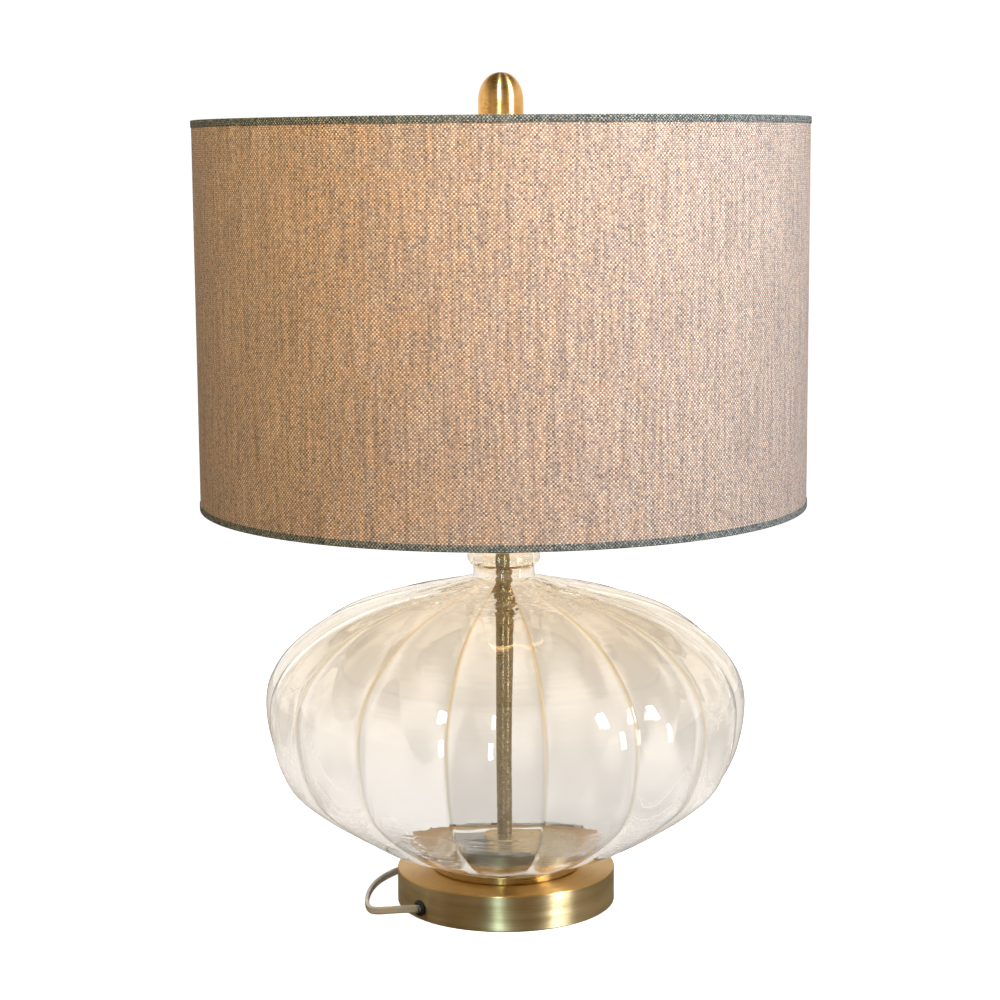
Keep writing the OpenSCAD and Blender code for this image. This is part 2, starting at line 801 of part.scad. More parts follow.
// Lead from the grommet through the base and up the pipe to the socket
module inner_lead() {
    route = [for (q = lead_route) [q[0] * cos(outlet_turn), q[0] * sin(outlet_turn), q[1]]];
    color(clear_pvc)
        tube_along(spline(route, 2), lead_d, lead_d, 8, [-sin(outlet_turn), cos(outlet_turn), 0]);
}

module cord_run() {
    color(clear_pvc) tube_along(spline(run_route, 2), cord_t, cord_w, 8, [0, 0, 1]);
}

// Flat outline with round ends
module round_ended(length, width, h) {
    for (side = [-1, 1]) translate([side * length / 2, 0, 0]) cylinder(h = h, r = width / 2);
    translate([-length / 2, -width / 2, 0]) cube([length, width, h]);
}

module cord_hank() {
    color(clear_pvc) translate([0, hank_y, tie_t]) difference() {
        round_ended(hank_run, hank_w + cord_t, hank_top - tie_t);
        translate([0, 0, -1]) round_ended(hank_run, hank_in_w, hank_top + 2);
    }
}

module cord_tail() {
    color(clear_pvc) tube_along(spline(tail_route, 2), cord_t, cord_w, 8, [0, 0, 1]);
}

module cord_ties() {
    bundle = (hank_w + cord_t - hank_in_w) / 2;
    color([0.15, 0.15, 0.15]) for (side = [-1, 1])
        translate([tie_x, hank_y + side * (hank_in_w + bundle) / 2, (hank_top + tie_t) / 2])
            difference() {
                cube([tie_w, bundle + 2 * tie_t, hank_top + tie_t], center = true);
                cube([tie_w + 2, bundle, hank_top - tie_t], center = true);
            }
}

module plug_body() {
    color(clear_pvc) translate([plug_x, plug_y, plug_z]) difference() {
        union() {
            rotate([0, 90, 0]) cylinder(h = relief_len + 1, r1 = 3.4, r2 = 5);
            translate([relief_len, -plug_w / 2 + 3, -plug_t / 2]) cube([plug_len, plug_w - 6, plug_t]);
            for (side = [-1, 1]) translate([relief_len, side * (plug_w / 2 - 3), 0])
                intersection() {
                    rotate([0, 90, 0]) cylinder(h = plug_len, r = plug_t / 2);
                    translate([0, -plug_w, -plug_t / 2]) cube([plug_len, 2 * plug_w, plug_t]);
                }
        }
        for (side = [-1, 1])
            translate([relief_len + plug_len - 6, side * blade_gap / 2 - blade_t / 2, -blade_w / 2])
                cube([10, blade_t, blade_w]);
    }
}

module plug_blades() {
    color(steel) for (side = [-1, 1])
        translate([plug_x + relief_len + plug_len - 6, plug_y + side * blade_gap / 2 - blade_t / 2,
            plug_z - blade_w / 2]) difference() {
            cube([blade_len + 6, blade_t, blade_w]);
            translate([blade_len + 1, blade_t + 1, blade_w / 2]) rotate([90, 0, 0]) cylinder(h = 4, r = 1.5);
        }
}

base_pad();
base_shell();
base_weight();
base_washer();
base_nut();
cord_grommet();
seat_plate();
seat_washer();
glass_body();
floor_washer();
stem_collar();
stem_tube();
threaded_pipe();
neck_gasket();
neck_cap();
neck_nut();
harp_saddle();
socket_cap();
socket_insert();
terminal_screws();
socket_screw_shell();
socket_contact();
socket_sleeve();
socket_shell();
switch_shaft();
switch_knob();
bulb_tip();
bulb_insulator();
bulb_screw_base();
bulb_housing();
bulb_led_board();
bulb_diffuser();
harp_frame();
harp_sleeve_left();
harp_sleeve_right();
harp_swivel();
shade_spider();
shade_top_ring();
shade_bottom_ring();
shade_liner();
shade_fabric();
shade_hem_top();
shade_hem_bottom();
finial();
inner_lead();
cord_run();
cord_hank();
cord_tail();
cord_ties();
plug_body();
plug_blades();
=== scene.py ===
import math

import bmesh
import bpy
from mathutils import Matrix, Vector


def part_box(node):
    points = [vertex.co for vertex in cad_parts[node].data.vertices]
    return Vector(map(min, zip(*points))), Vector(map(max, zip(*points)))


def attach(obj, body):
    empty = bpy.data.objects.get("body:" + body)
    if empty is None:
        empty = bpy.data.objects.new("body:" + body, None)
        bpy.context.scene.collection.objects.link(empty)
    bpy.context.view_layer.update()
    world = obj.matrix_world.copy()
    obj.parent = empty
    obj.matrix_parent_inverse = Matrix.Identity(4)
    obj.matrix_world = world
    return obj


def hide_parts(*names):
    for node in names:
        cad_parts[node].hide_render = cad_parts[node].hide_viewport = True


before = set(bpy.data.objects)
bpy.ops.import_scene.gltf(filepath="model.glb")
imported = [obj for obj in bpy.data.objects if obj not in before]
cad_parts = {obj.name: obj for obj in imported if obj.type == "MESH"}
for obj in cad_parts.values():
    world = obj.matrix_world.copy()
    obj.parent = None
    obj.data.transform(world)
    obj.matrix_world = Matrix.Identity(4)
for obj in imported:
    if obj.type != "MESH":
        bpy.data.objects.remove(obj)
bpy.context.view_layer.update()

# Table lamp: drum shade of woven cloth, ribbed clear glass body, brushed brass base.
# Metres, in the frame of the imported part: +Z up, -Y the front, origin on the table.
MM = 0.001
UP = Vector((0, 0, 1))
TURN = 2 * math.pi


# ---------------------------------------------------------------- places from the part

def rim(node):
    """Outer radius, lowest and highest point of a part that is round about the lamp's axis."""
    low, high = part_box(node)
    return (high.x - low.x) / 2, low.z, high.z


def spline(points, steps):
    """Catmull-Rom curve through points, with so many steps between two of them."""
    points = [Vector(p) for p in points]
    last = len(points) - 1
    curve = []
    for i in range(last):
        a, b = points[max(i - 1, 0)], points[i]
        c, d = points[i + 1], points[min(i + 2, last)]
        for step in range(steps):
            t = step / steps
            pull = 2 * a - 5 * b + 4 * c - d
            twist = 3 * b - a - 3 * c + d
            curve.append(b + ((c - a) * t + pull * t * t + twist * t ** 3) / 2)
    return curve + [points[last]]


# ---------------------------------------------------------------- camera

LENS = 85.2
SENSOR = 36
CAMERA_PLACE = (-0.0023, -1.583, 0.5127)
CAMERA_PITCH = 8.41
CAMERA_ROLL = -0.4


def make_camera():
    data = bpy.data.cameras.new("camera")
    data.lens = LENS
    data.sensor_width = SENSOR
    camera = bpy.data.objects.new("camera", data)
    bpy.context.scene.collection.objects.link(camera)
    pitch = Matrix.Rotation(math.radians(90 - CAMERA_PITCH), 4, "X")
    roll = Matrix.Rotation(math.radians(CAMERA_ROLL), 4, "Z")
    camera.matrix_world = Matrix.Translation(CAMERA_PLACE) @ pitch @ roll
    bpy.context.scene.camera = camera


# ---------------------------------------------------------------- mesh tools

def new_piece(name, bm, material, even=True):
    """Turns a bmesh into a smooth-shaded piece; even keeps broad faces flat beside rounded edges."""
    for face in bm.faces:
        face.smooth = True
    mesh = bpy.data.meshes.new(name)
    bm.to_mesh(mesh)
    bm.free()
    mesh.materials.append(material)
    piece = bpy.data.objects.new(name, mesh)
    bpy.context.scene.collection.objects.link(piece)
    if even:
        piece.modifiers.new("even_shading", "WEIGHTED_NORMAL").weight = 80
    return piece


def add_outline(bm, points, closed=True):
    """Vertices and edges through points in order."""
    verts = [bm.verts.new(p) for p in points]
    edges = [bm.edges.new(pair) for pair in zip(verts, verts[1:])]
    if closed:
        edges.append(bm.edges.new((verts[-1], verts[0])))
    return verts, edges


def lathe(outline, steps=160, closed=True):
    """Solid turned about the lamp's axis from an outline of (radius, height) points."""
    bm = bmesh.new()
    verts, edges = add_outline(bm, [(r, 0, z) for r, z in outline], closed)
    bmesh.ops.spin(
        bm, geom=verts + edges, axis=UP, cent=(0, 0, 0), dvec=(0, 0, 0),
        angle=TURN, steps=steps, use_merge=True, use_duplicate=False,
    )
    bmesh.ops.remove_doubles(bm, verts=bm.verts, dist=0.002 * MM)
    bmesh.ops.recalc_face_normals(bm, faces=bm.faces)
    return bm


def soften(bm, width, segments=2, from_angle=30):
    """Rounds every edge where two faces meet at more than the angle."""
    sharp = [e for e in bm.edges if e.is_manifold and e.calc_face_angle() > math.radians(from_angle)]
    bmesh.ops.bevel(
        bm, geom=sharp, offset=width, offset_type="OFFSET", segments=segments,
        profile=0.5, affect="EDGES", clamp_overlap=True, material=-1,
    )


def merge(bm, part):
    """Moves everything in part into bm."""
    mesh = bpy.data.meshes.new("part")
    part.to_mesh(mesh)
    part.free()
    bm.from_mesh(mesh)
    bpy.data.meshes.remove(mesh)


def sweep(path, section, up):
    """Solid of a section of (across, upwards) points carried along a path."""
    bm = bmesh.new()
    last = len(path) - 1
    rings = []
    edges = []
    for i, point in enumerate(path):
        ahead = (path[min(i + 1, last)] - path[max(i - 1, 0)]).normalized()
        side = ahead.cross(up).normalized()
        rise = side.cross(ahead)
        places = [point + side * s + rise * u for s, u in section]
        if not rings:
            verts, edges = add_outline(bm, places)
        else:
            grown = bmesh.ops.extrude_edge_only(bm, edges=edges)["geom"]
            new = {g for g in grown if isinstance(g, bmesh.types.BMVert)}
            edges = [g for g in grown if isinstance(g, bmesh.types.BMEdge) and set(g.verts) <= new]
            verts = match_ring(rings[-1], new)
            for vert, place in zip(verts, places):
                vert.co = place
        rings.append(verts)
    bm.faces.new(rings[0])
    bm.faces.new(rings[-1])
    bmesh.ops.recalc_face_normals(bm, faces=bm.faces)
    return bm


def match_ring(old, new):
    """The new ring's points in the order of the ring that they were drawn out of."""
    return [next(e.other_vert(v) for e in v.link_edges if e.other_vert(v) in new) for v in old]


def round_section(radius, sides=14):
    angles = [TURN * k / sides for k in range(sides)]
    return [(radius * math.cos(a), radius * math.sin(a)) for a in angles]


# ---------------------------------------------------------------- shader tools

def put(tree, kind, inputs=None, **settings):
    """Adds a node. An input given as a socket is linked, and any other value is set."""
    node = tree.nodes.new("ShaderNode" + kind)
    for name, value in settings.items():
        setattr(node, name, value)
    for key, value in (inputs or {}).items():
        if isinstance(value, bpy.types.NodeSocket):
            tree.links.new(value, node.inputs[key])
        else:
            node.inputs[key].default_value = value
    return node


def calc(tree, operation, a, b=0.0):
    return put(tree, "Math", {0: a, 1: b}, operation=operation).outputs[0]


def fade(tree, value, start, end, low=0.0, high=1.0):
    """Smooth step of a value from start to end."""
    ends = {"Value": value, "From Min": start, "From Max": end, "To Min": low, "To Max": high}
    return put(tree, "MapRange", ends, interpolation_type="SMOOTHSTEP").outputs[0]


def mix(tree, factor, a, b, blend="MIX"):
    node = put(tree, "Mix", {0: factor, 6: a, 7: b}, data_type="RGBA", blend_type=blend)
    return node.outputs[2]


def noise(tree, vector, scale=1.0, detail=2.0, roughness=0.5):
    values = {"Vector": vector, "Scale": scale, "Detail": detail, "Roughness": roughness}
    return put(tree, "TexNoise", values).outputs[0]


def vector_of(tree, x, y, z=0.0):
    return put(tree, "CombineXYZ", {0: x, 1: y, 2: z}).outputs[0]


def new_group(name, inputs, outputs):
    """Node group with named sockets; returns its tree, its inputs and its output node."""
    tree = bpy.data.node_groups.new(name, "ShaderNodeTree")
    for socket, kind, value in inputs:
        made = tree.interface.new_socket(name=socket, in_out="INPUT", socket_type="NodeSocket" + kind)
        made.default_value = value
    for socket, kind in outputs:
        tree.interface.new_socket(name=socket, in_out="OUTPUT", socket_type="NodeSocket" + kind)
    return tree, tree.nodes.new("NodeGroupInput").outputs, tree.nodes.new("NodeGroupOutput").inputs


def effect(tree, group, **values):
    """Places a node group in a material with its own values."""
    node = tree.nodes.new("ShaderNodeGroup")
    node.node_tree = group
    for name, value in values.items():
        node.inputs[name.replace("_", " ")].default_value = value
    return node.outputs


def round_place(tree):
    """Turn about the lamp's axis from the front, distance from the axis, and height."""
    place = put(tree, "TexCoord").outputs["Object"]
    x, y, z = put(tree, "SeparateXYZ", {0: place}).outputs
    turn = calc(tree, "ARCTAN2", x, calc(tree, "MULTIPLY", y, -1.0))
    flat = vector_of(tree, x, y)
    out = put(tree, "VectorMath", {0: flat}, operation="LENGTH").outputs["Value"]
    return turn, out, z


def new_material(name, colour, roughness, metallic=0.0, **sockets):
    """Material with a Principled shader; sockets are plain values set on the shader itself."""
    material = bpy.data.materials.new(name)
    material.use_nodes = True
    tree = material.node_tree
    shader = next(n for n in tree.nodes if n.type == "BSDF_PRINCIPLED")
    shader.inputs["Base Color"].default_value = (*colour, 1)
    shader.inputs["Roughness"].default_value = roughness
    shader.inputs["Metallic"].default_value = metallic
    for socket, value in sockets.items():
        shader.inputs[socket.replace("_", " ")].default_value = value
    return material, tree, shader


def through_glass(tree, path):
    """1 for what is seen through clear glass or mirrored inside it."""
    passed = calc(tree, "MINIMUM", path.outputs["Transmission Depth"], 1.0)
    return calc(tree, "MULTIPLY", path.outputs["Is Singular Ray"], passed)


def bump(tree, shader, height, distance, strength=1.0):
    values = {"Height": height, "Distance": distance, "Strength": strength}
    tree.links.new(put(tree, "Bump", values).outputs[0], shader.inputs["Normal"])


# ---------------------------------------------------------------- shared effects

def make_weave():
    """Plain weave round the lamp's axis: threads of mixed yarn, slubs, streaks and painted shade between
    threads.
    """
    tree, given, result = new_group(
        "cloth_weave",
        [("Radius", "Float", 0.2), ("Pitch", "Float", 0.001), ("Slubs", "Float", 0.3),
         ("Pale", "Color", (1, 1, 1, 1)), ("Warm", "Color", (1, 1, 1, 1)),
         ("Deep", "Color", (1, 1, 1, 1)), ("Cool", "Color", (1, 1, 1, 1))],
        [("Colour", "Color"), ("Height", "Float")],
    )
    turn, _, z = round_place(tree)
    arc = calc(tree, "MULTIPLY", turn, given["Radius"])
    wander = calc(tree, "MULTIPLY", noise(tree, vector_of(tree, arc, z), 45.0, 2.0), 0.0022)
    across = calc(tree, "DIVIDE", calc(tree, "ADD", arc, wander), given["Pitch"])
    along = calc(tree, "DIVIDE", calc(tree, "SUBTRACT", z, wander), given["Pitch"])
    warp, weft = calc(tree, "FLOOR", across), calc(tree, "FLOOR", along)
    over = calc(tree, "FLOORED_MODULO", calc(tree, "ADD", warp, weft), 2.0)

    def yarn(number, run, seed):
        thread, length = calc(tree, "MULTIPLY", number, 3.7), calc(tree, "MULTIPLY", run, 0.45)
        return noise(tree, vector_of(tree, thread, length, seed), 1.0, 3.0, 0.65)

    def crown(value):
        return calc(tree, "SINE", calc(tree, "MULTIPLY", calc(tree, "FRACT", value), math.pi))

    tone = mix(tree, over, yarn(warp, along, 2.0), yarn(weft, across, 9.0))
    tint = mix(tree, over, yarn(warp, along, 31.0), yarn(weft, across, 47.0))
    height = mix(tree, over, crown(across), crown(along))
    streak_place = vector_of(tree, calc(tree, "MULTIPLY", arc, 420.0), calc(tree, "MULTIPLY", z, 16.0))
    streak = noise(tree, streak_place, 1.0, 3.0, 0.6)
    slub_place = vector_of(tree, calc(tree, "MULTIPLY", arc, 26.0), calc(tree, "MULTIPLY", weft, 1.9))
    slub = fade(tree, noise(tree, slub_place), 0.7, 0.78)
    warp_colour = mix(tree, fade(tree, tone, 0.36, 0.56), given["Deep"], given["Warm"])
    weft_colour = mix(tree, fade(tree, tint, 0.42, 0.62), given["Pale"], given["Cool"])
    colour = mix(tree, over, warp_colour, weft_colour)
    # Painted shade: the colour darkens in the gaps between threads, away from each thread's crown.
    thread_gap_shade = fade(tree, height, 0.0, 0.8, 0.5, 1.0)
    dark = fade(tree, streak, 0.3, 0.64, 0.74, 1.08)
    dark = calc(tree, "MULTIPLY", dark, thread_gap_shade)
    dark = calc(tree, "SUBTRACT", dark, calc(tree, "MULTIPLY", slub, given["Slubs"]))
    tree.links.new(mix(tree, 1.0, colour, vector_of(tree, dark, dark, dark), "MULTIPLY"), result["Colour"])
    tree.links.new(calc(tree, "ADD", height, slub), result["Height"])
    return tree


def make_brushing():
    """Fine lines that run round the lamp's axis, as a polishing belt leaves them."""
    tree, given, result = new_group(
        "brush_lines", [("Lines per metre", "Float", 2400.0)], [("Mask", "Float"), ("Height", "Float")],
    )
    turn, out, z = round_place(tree)
    lines = given["Lines per metre"]
    fine = vector_of(tree, calc(tree, "MULTIPLY", out, lines), calc(tree, "MULTIPLY", turn, 2.2),
                     calc(tree, "MULTIPLY", z, lines))
    broad = vector_of(tree, calc(tree, "MULTIPLY", out, 160.0), calc(tree, "MULTIPLY", turn, 1.4),
                      calc(tree, "MULTIPLY", z, 160.0))
    scratch = noise(tree, fine, 1.0, 4.0, 0.7)
    tree.links.new(mix(tree, 0.45, scratch, noise(tree, broad, 1.0, 3.0)), result["Mask"])
    tree.links.new(scratch, result["Height"])
    return tree


def make_grain():
    """Even mottling and fine grain for moulded, cast and fibrous surfaces."""
    tree, given, result = new_group(
        "grain", [("Scale", "Float", 800.0), ("Blotch", "Float", 40.0)],
        [("Mask", "Float"), ("Height", "Float")],
    )
    place = put(tree, "TexCoord").outputs["Object"]
    fine = noise(tree, place, given["Scale"], 4.0, 0.6)
    tree.links.new(mix(tree, 0.5, fine, noise(tree, place, given["Blotch"], 3.0)), result["Mask"])
    tree.links.new(fine, result["Height"])
    return tree


WEAVE = make_weave()
BRUSHING = make_brushing()
GRAIN = make_grain()


# ---------------------------------------------------------------- finishes

def tinted(tree, shader, mask, dark, light, low=0.35, high=0.65):
    """Base colour that runs from dark to light with a mask."""
    colour = mix(tree, fade(tree, mask, low, high), (*dark, 1), (*light, 1))
    tree.links.new(colour, shader.inputs["Base Color"])


def brushed_brass(name, dark, light, roughness, stretch=0.7, lines=2400.0, relief=0.002):
    material, tree, shader = new_material(
        name, light, sum(roughness) / 2, 1.0, Anisotropic=stretch, Anisotropic_Rotation=0.25)
    lines = effect(tree, BRUSHING, Lines_per_metre=lines)
    tinted(tree, shader, lines["Mask"], dark, light)
    tree.links.new(fade(tree, lines["Mask"], 0.3, 0.7, *roughness), shader.inputs["Roughness"])
    bump(tree, shader, lines["Height"], relief * MM)
    tangent = put(tree, "Tangent", direction_type="RADIAL", axis="Z")
    tree.links.new(tangent.outputs[0], shader.inputs["Tangent"])
    return material


def painted_warm_reflection_above(material, height, reflected_warmth):
    """Painted warm reflection: a warmer base colour above a height, for the lit bulb's glow mirrored on the
    top face.
    """
    tree = material.node_tree
    shader = next(n for n in tree.nodes if n.type == "BSDF_PRINCIPLED")
    colour = shader.inputs["Base Color"].links[0].from_socket
    above = fade(tree, round_place(tree)[2], height, height + 0.5 * MM)
    warmer = mix(tree, 1.0, colour, (*reflected_warmth, 1), "MULTIPLY")
    tree.links.new(mix(tree, above, colour, warmer), shader.inputs["Base Color"])


def grained(name, dark, light, roughness, metallic=0.0, scale=800.0, blotch=40.0, relief=0.05, **sockets):
    material, tree, shader = new_material(name, light, sum(roughness) / 2, metallic, **sockets)
    grain = effect(tree, GRAIN, Scale=scale, Blotch=blotch)
    tinted(tree, shader, grain["Mask"], dark, light)
    tree.links.new(fade(tree, grain["Mask"], 0.3, 0.7, *roughness), shader.inputs["Roughness"])
    bump(tree, shader, grain["Height"], relief * MM)
    return material


def woven(name, radius, pitch, yarns, slubs=0.3, relief=0.25, **sockets):
    material, tree, shader = new_material(name, yarns[1], 0.85, **sockets)
    colours = {thread: (*yarn, 1) for thread, yarn in zip(("Pale", "Warm", "Deep", "Cool"), yarns)}
    cloth = effect(tree, WEAVE, Radius=radius, Pitch=pitch, Slubs=slubs, **colours)
    tree.links.new(cloth["Colour"], shader.inputs["Base Color"])
    bump(tree, shader, cloth["Height"], relief * MM)
    return material


LOBES = 16
LOBE_DEPTH = 4.5 * MM
GLASS_IOR = 1.46
CREASE_AT = math.radians(9)
INNER_CREASE = 0.7


def champagne_glass():
    """Clear glass with a faint champagne tint, wavy near the neck; painted shade and a painted warm
    reflection along the creases of the front wall, and a painted warm glow over the upper part.
    """
    material, tree, shader = new_material(
        "glass_champagne", (0.97, 0.94, 0.88), 0.0, Transmission_Weight=1.0, IOR=GLASS_IOR,
        Emission_Color=(1.0, 0.95, 0.88, 1))
    turn, out, z = round_place(tree)
    wave = calc(tree, "SINE", calc(tree, "MULTIPLY", calc(tree, "SUBTRACT", turn, CREASE_AT), LOBES / 2))
    path = put(tree, "LightPath").outputs
    front_wall = fade(tree, path["Transmission Depth"], 1.6, 1.4)
    # Painted shade and painted reflection: a darker tint in the creases of the front wall, turning warm
    # yellow higher up.
    crease = calc(tree, "MULTIPLY", fade(tree, calc(tree, "ABSOLUTE", wave), 0.14, 0.02), front_wall)
    # Painted warm glow: the glass is tinted warmer towards the neck, for the lit bulb's light reflected on
    # the shoulder.
    upper = fade(tree, z, 0.10, 0.21)
    clear = mix(tree, upper, (0.93, 0.918, 0.90, 1), (1.0, 0.915, 0.79, 1))
    crease_shade_and_reflection = mix(tree, upper, (0.80, 0.78, 0.71, 1), (0.88, 0.68, 0.40, 1))
    tree.links.new(mix(tree, crease, clear, crease_shade_and_reflection), shader.inputs["Base Color"])
    place = put(tree, "TexCoord").outputs["Object"]
    broad = noise(tree, place, 14.0, 1.0)
    crinkle = noise(tree, place, 95.0, 2.0)
    ripple_place = vector_of(tree, calc(tree, "MULTIPLY", turn, 3.0), calc(tree, "MULTIPLY", z, 210.0))
    ripple = noise(tree, ripple_place, 1.0, 2.0)
    near_neck = calc(tree, "MULTIPLY", fade(tree, z, 0.19, 0.215), fade(tree, out, 0.09, 0.05))
    near_neck = calc(tree, "MULTIPLY", near_neck, fade(tree, out, 0.022, 0.03))
    crinkle = calc(tree, "MULTIPLY", calc(tree, "MULTIPLY", crinkle, near_neck), 0.4)
    height = calc(tree, "ADD", broad, crinkle)
    height = calc(tree, "ADD", height, calc(tree, "MULTIPLY", ripple, 0.035))
    bump(tree, shader, height, 3.0 * MM, 0.5)
    tree.links.new(fade(tree, front_wall, 0.0, 1.0, 1.1, GLASS_IOR), shader.inputs["IOR"])
    # Painted light: the glass glows faintly on rays that have bounced deep inside it.
    tree.links.new(fade(tree, path["Glossy Depth"], 3.4, 3.6, 0.0, 0.5), shader.inputs["Emission Strength"])
    return material


def lit_diffuser():
    """Frosted dome of the bulb, glowing warm."""
    material, tree, shader = new_material(
        "bulb_frosted", (0.95, 0.93, 0.88), 0.45, Emission_Strength=5.0,
        Emission_Color=(1.0, 0.62, 0.30, 1))
    grain = effect(tree, GRAIN, Scale=900.0, Blotch=60.0)
    tinted(tree, shader, grain["Mask"], (0.90, 0.87, 0.80), (0.97, 0.95, 0.91))
    bump(tree, shader, grain["Height"], 0.03 * MM)
    return material


SHADE_R = rim("shade_fabric")[0]
BRASS_BASE = brushed_brass("brass_base", (0.52, 0.40, 0.20), (0.68, 0.53, 0.30), (0.30, 0.42), 0.95)
# Painted warm reflection on the base's top face.
painted_warm_reflection_above(BRASS_BASE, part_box("base_shell")[1].z - 1.0 * MM, (1.0, 0.76, 0.42))
BRASS_SEAT = brushed_brass("brass_seat", (0.50, 0.36, 0.15), (0.68, 0.50, 0.24), (0.24, 0.34), 0.8)
# Painted warm reflection: the finial's brass is a deeper orange copy, for the lit bulb's warm light on it.
BRASS_FINIAL_WARM_LIT = brushed_brass("brass_finial_warm_lit", (0.90, 0.50, 0.16), (1.0, 0.62, 0.24), (0.26, 0.34),
                             0.9, relief=0.0003)
# Painted shade: the stem's brass is a much darker copy, for the dim reflections of the stem inside the
# glass.
BRASS_STEM_SHADED = brushed_brass("brass_stem_shaded", (0.20, 0.155, 0.085), (0.30, 0.24, 0.14), (0.22, 0.3),
                           0.9, 1200.0, 0.0005)
BRASS_PLATED = grained("brass_plated", (0.56, 0.43, 0.22), (0.70, 0.55, 0.30), (0.2, 0.34),
                       1.0, 1500.0, 60.0, 0.01)
STEEL = grained("steel_plain", (0.45, 0.45, 0.46), (0.60, 0.60, 0.61), (0.25, 0.42),
                1.0, 1500.0, 90.0, 0.01)
IRON = grained("cast_iron", (0.05, 0.05, 0.055), (0.12, 0.12, 0.125), (0.55, 0.8), 0.6, 700.0, 80.0, 0.2)
FELT = grained("felt_black", (0.012, 0.012, 0.014), (0.035, 0.035, 0.038), (0.9, 1.0),
               0.0, 1800.0, 90.0, 0.3, Sheen_Weight=0.4)
RUBBER = grained("rubber_black", (0.010, 0.010, 0.011), (0.025, 0.025, 0.026), (0.4, 0.6),
                 0.0, 1300.0, 120.0, 0.03)
SILICONE = grained("silicone_clear", (0.72, 0.72, 0.68), (0.85, 0.85, 0.82), (0.3, 0.45),
                   0.0, 900.0, 90.0, 0.02, Subsurface_Weight=0.3)
PHENOLIC = grained("phenolic_black", (0.012, 0.010, 0.009), (0.03, 0.026, 0.024), (0.22, 0.36),
                   0.0, 1100.0, 60.0, 0.02)
CARD = grained("card_liner", (0.46, 0.34, 0.19), (0.60, 0.47, 0.29), (0.75, 0.95), 0.0, 1200.0, 150.0, 0.1)
ALUMINIUM = grained("aluminium_plain", (0.70, 0.70, 0.71), (0.82, 0.82, 0.83), (0.3, 0.45),
                    1.0, 1500.0, 90.0, 0.01)
BULB_PLASTIC = grained("bulb_plastic", (0.80, 0.80, 0.78), (0.90, 0.90, 0.88), (0.3, 0.42),
                       0.0, 900.0, 60.0, 0.02)
LINER = grained("liner_sheet", (0.76, 0.72, 0.64), (0.86, 0.83, 0.76), (0.6, 0.8), 0.0, 1400.0, 25.0, 0.04)
CORD_PVC = grained("cord_pvc", (0.86, 0.86, 0.84), (0.93, 0.93, 0.92), (0.2, 0.32), 0.0, 900.0, 60.0, 0.02,
                   Subsurface_Weight=0.2, Coat_Weight=0.3)
TIE_TAPE = grained("tie_tape", (0.015, 0.015, 0.017), (0.05, 0.05, 0.055), (0.8, 1.0),
                   0.0, 2200.0, 90.0, 0.2, Sheen_Weight=0.3)
GLASS = champagne_glass()
DIFFUSER = lit_diffuser()
# Painted glow: the tan and brown yarns stand in for the bulb's warm light shining through the cloth; the
# pale and grey yarns, and the hem's cloth, keep the cloth's own colours.
SHADE_CLOTH_WARM_GLOW = woven(
    "shade_cloth", SHADE_R, 1.24 * MM,
    [(0.95, 0.87, 0.80), (0.60, 0.35, 0.19), (0.20, 0.12, 0.07), (0.48, 0.49, 0.53)], Sheen_Weight=0.1)
HEM_CLOTH = woven(
    "hem_cloth", SHADE_R, 1.1 * MM,
    [(0.50, 0.52, 0.50), (0.10, 0.13, 0.125), (0.02, 0.022, 0.022), (0.09, 0.135, 0.14)], 0.1)


# ---------------------------------------------------------------- cord

CORD_WIDTH = 5.3
CORD_THICK = 2.8
CORD_EXIT = (-59.3, -48, 8.4)
RUN_ROUTE = [
    CORD_EXIT, (-64, -50.2, 8.8), (-70, -51.4, 9), (-76.5, -50.6, 8.4), (-83, -47.6, 7),
    (-88.6, -42, 5.2), (-92.4, -34.6, 3.8), (-94.6, -25, 3), (-95.6, -14, 2.7), (-95.6, -2, 2.7),
    (-94.4, 12, 2.7), (-91.6, 26, 2.7), (-87, 39, 2.7), (-80, 51.6, 2.8), (-70.4, 63, 3),
    (-59, 71.6, 3.2), (-48, 76.6, 3.3), (-36, 78, 3.3),
]
TAIL_ROUTE = [
    (-36, 84, 8.6), (-31.5, 84.4, 8.6), (-27, 86.6, 8.4), (-22, 91, 7.8), (-17.5, 95.6, 7),
    (-12.5, 98.8, 6.4), (-7, 99.8, 6.2), (-2, 99.8, 6.2),
]
HANK_RUN = 72
HANK_Y = 99.7
HANK_RADII = (21.7, 18.8, 15.9)
HANK_HEIGHTS = (3.3, 8.6)
HANK_TURNS = [(0, 0), (0, 1), (1, 1), (1, 0), (2, 0), (2, 1)]
RUN_STEPS = 6
FOLD_STEPS = 14


def hank_turn(start, end):
    """One turn of the hank: front run, right fold, back run, and a left fold to the next turn."""
    (radius, z), (next_radius, next_z) = start, end
    half = HANK_RUN / 2
    points = [(-half + HANK_RUN * k / RUN_STEPS, HANK_Y - radius, z) for k in range(RUN_STEPS)]
    for k in range(FOLD_STEPS):
        angle = math.pi * k / FOLD_STEPS
        points.append((half + radius * math.sin(angle), HANK_Y - radius * math.cos(angle), z))
    points += [(half - HANK_RUN * k / RUN_STEPS, HANK_Y + radius, z) for k in range(RUN_STEPS)]
    for k in range(FOLD_STEPS):
        angle = math.pi * k / FOLD_STEPS
        share = (1 - math.cos(angle)) / 2
        r = radius + (next_radius - radius) * share
        height = z + (next_z - z) * share
        points.append((-half - r * math.sin(angle), HANK_Y + r * math.cos(angle), height))
    return points


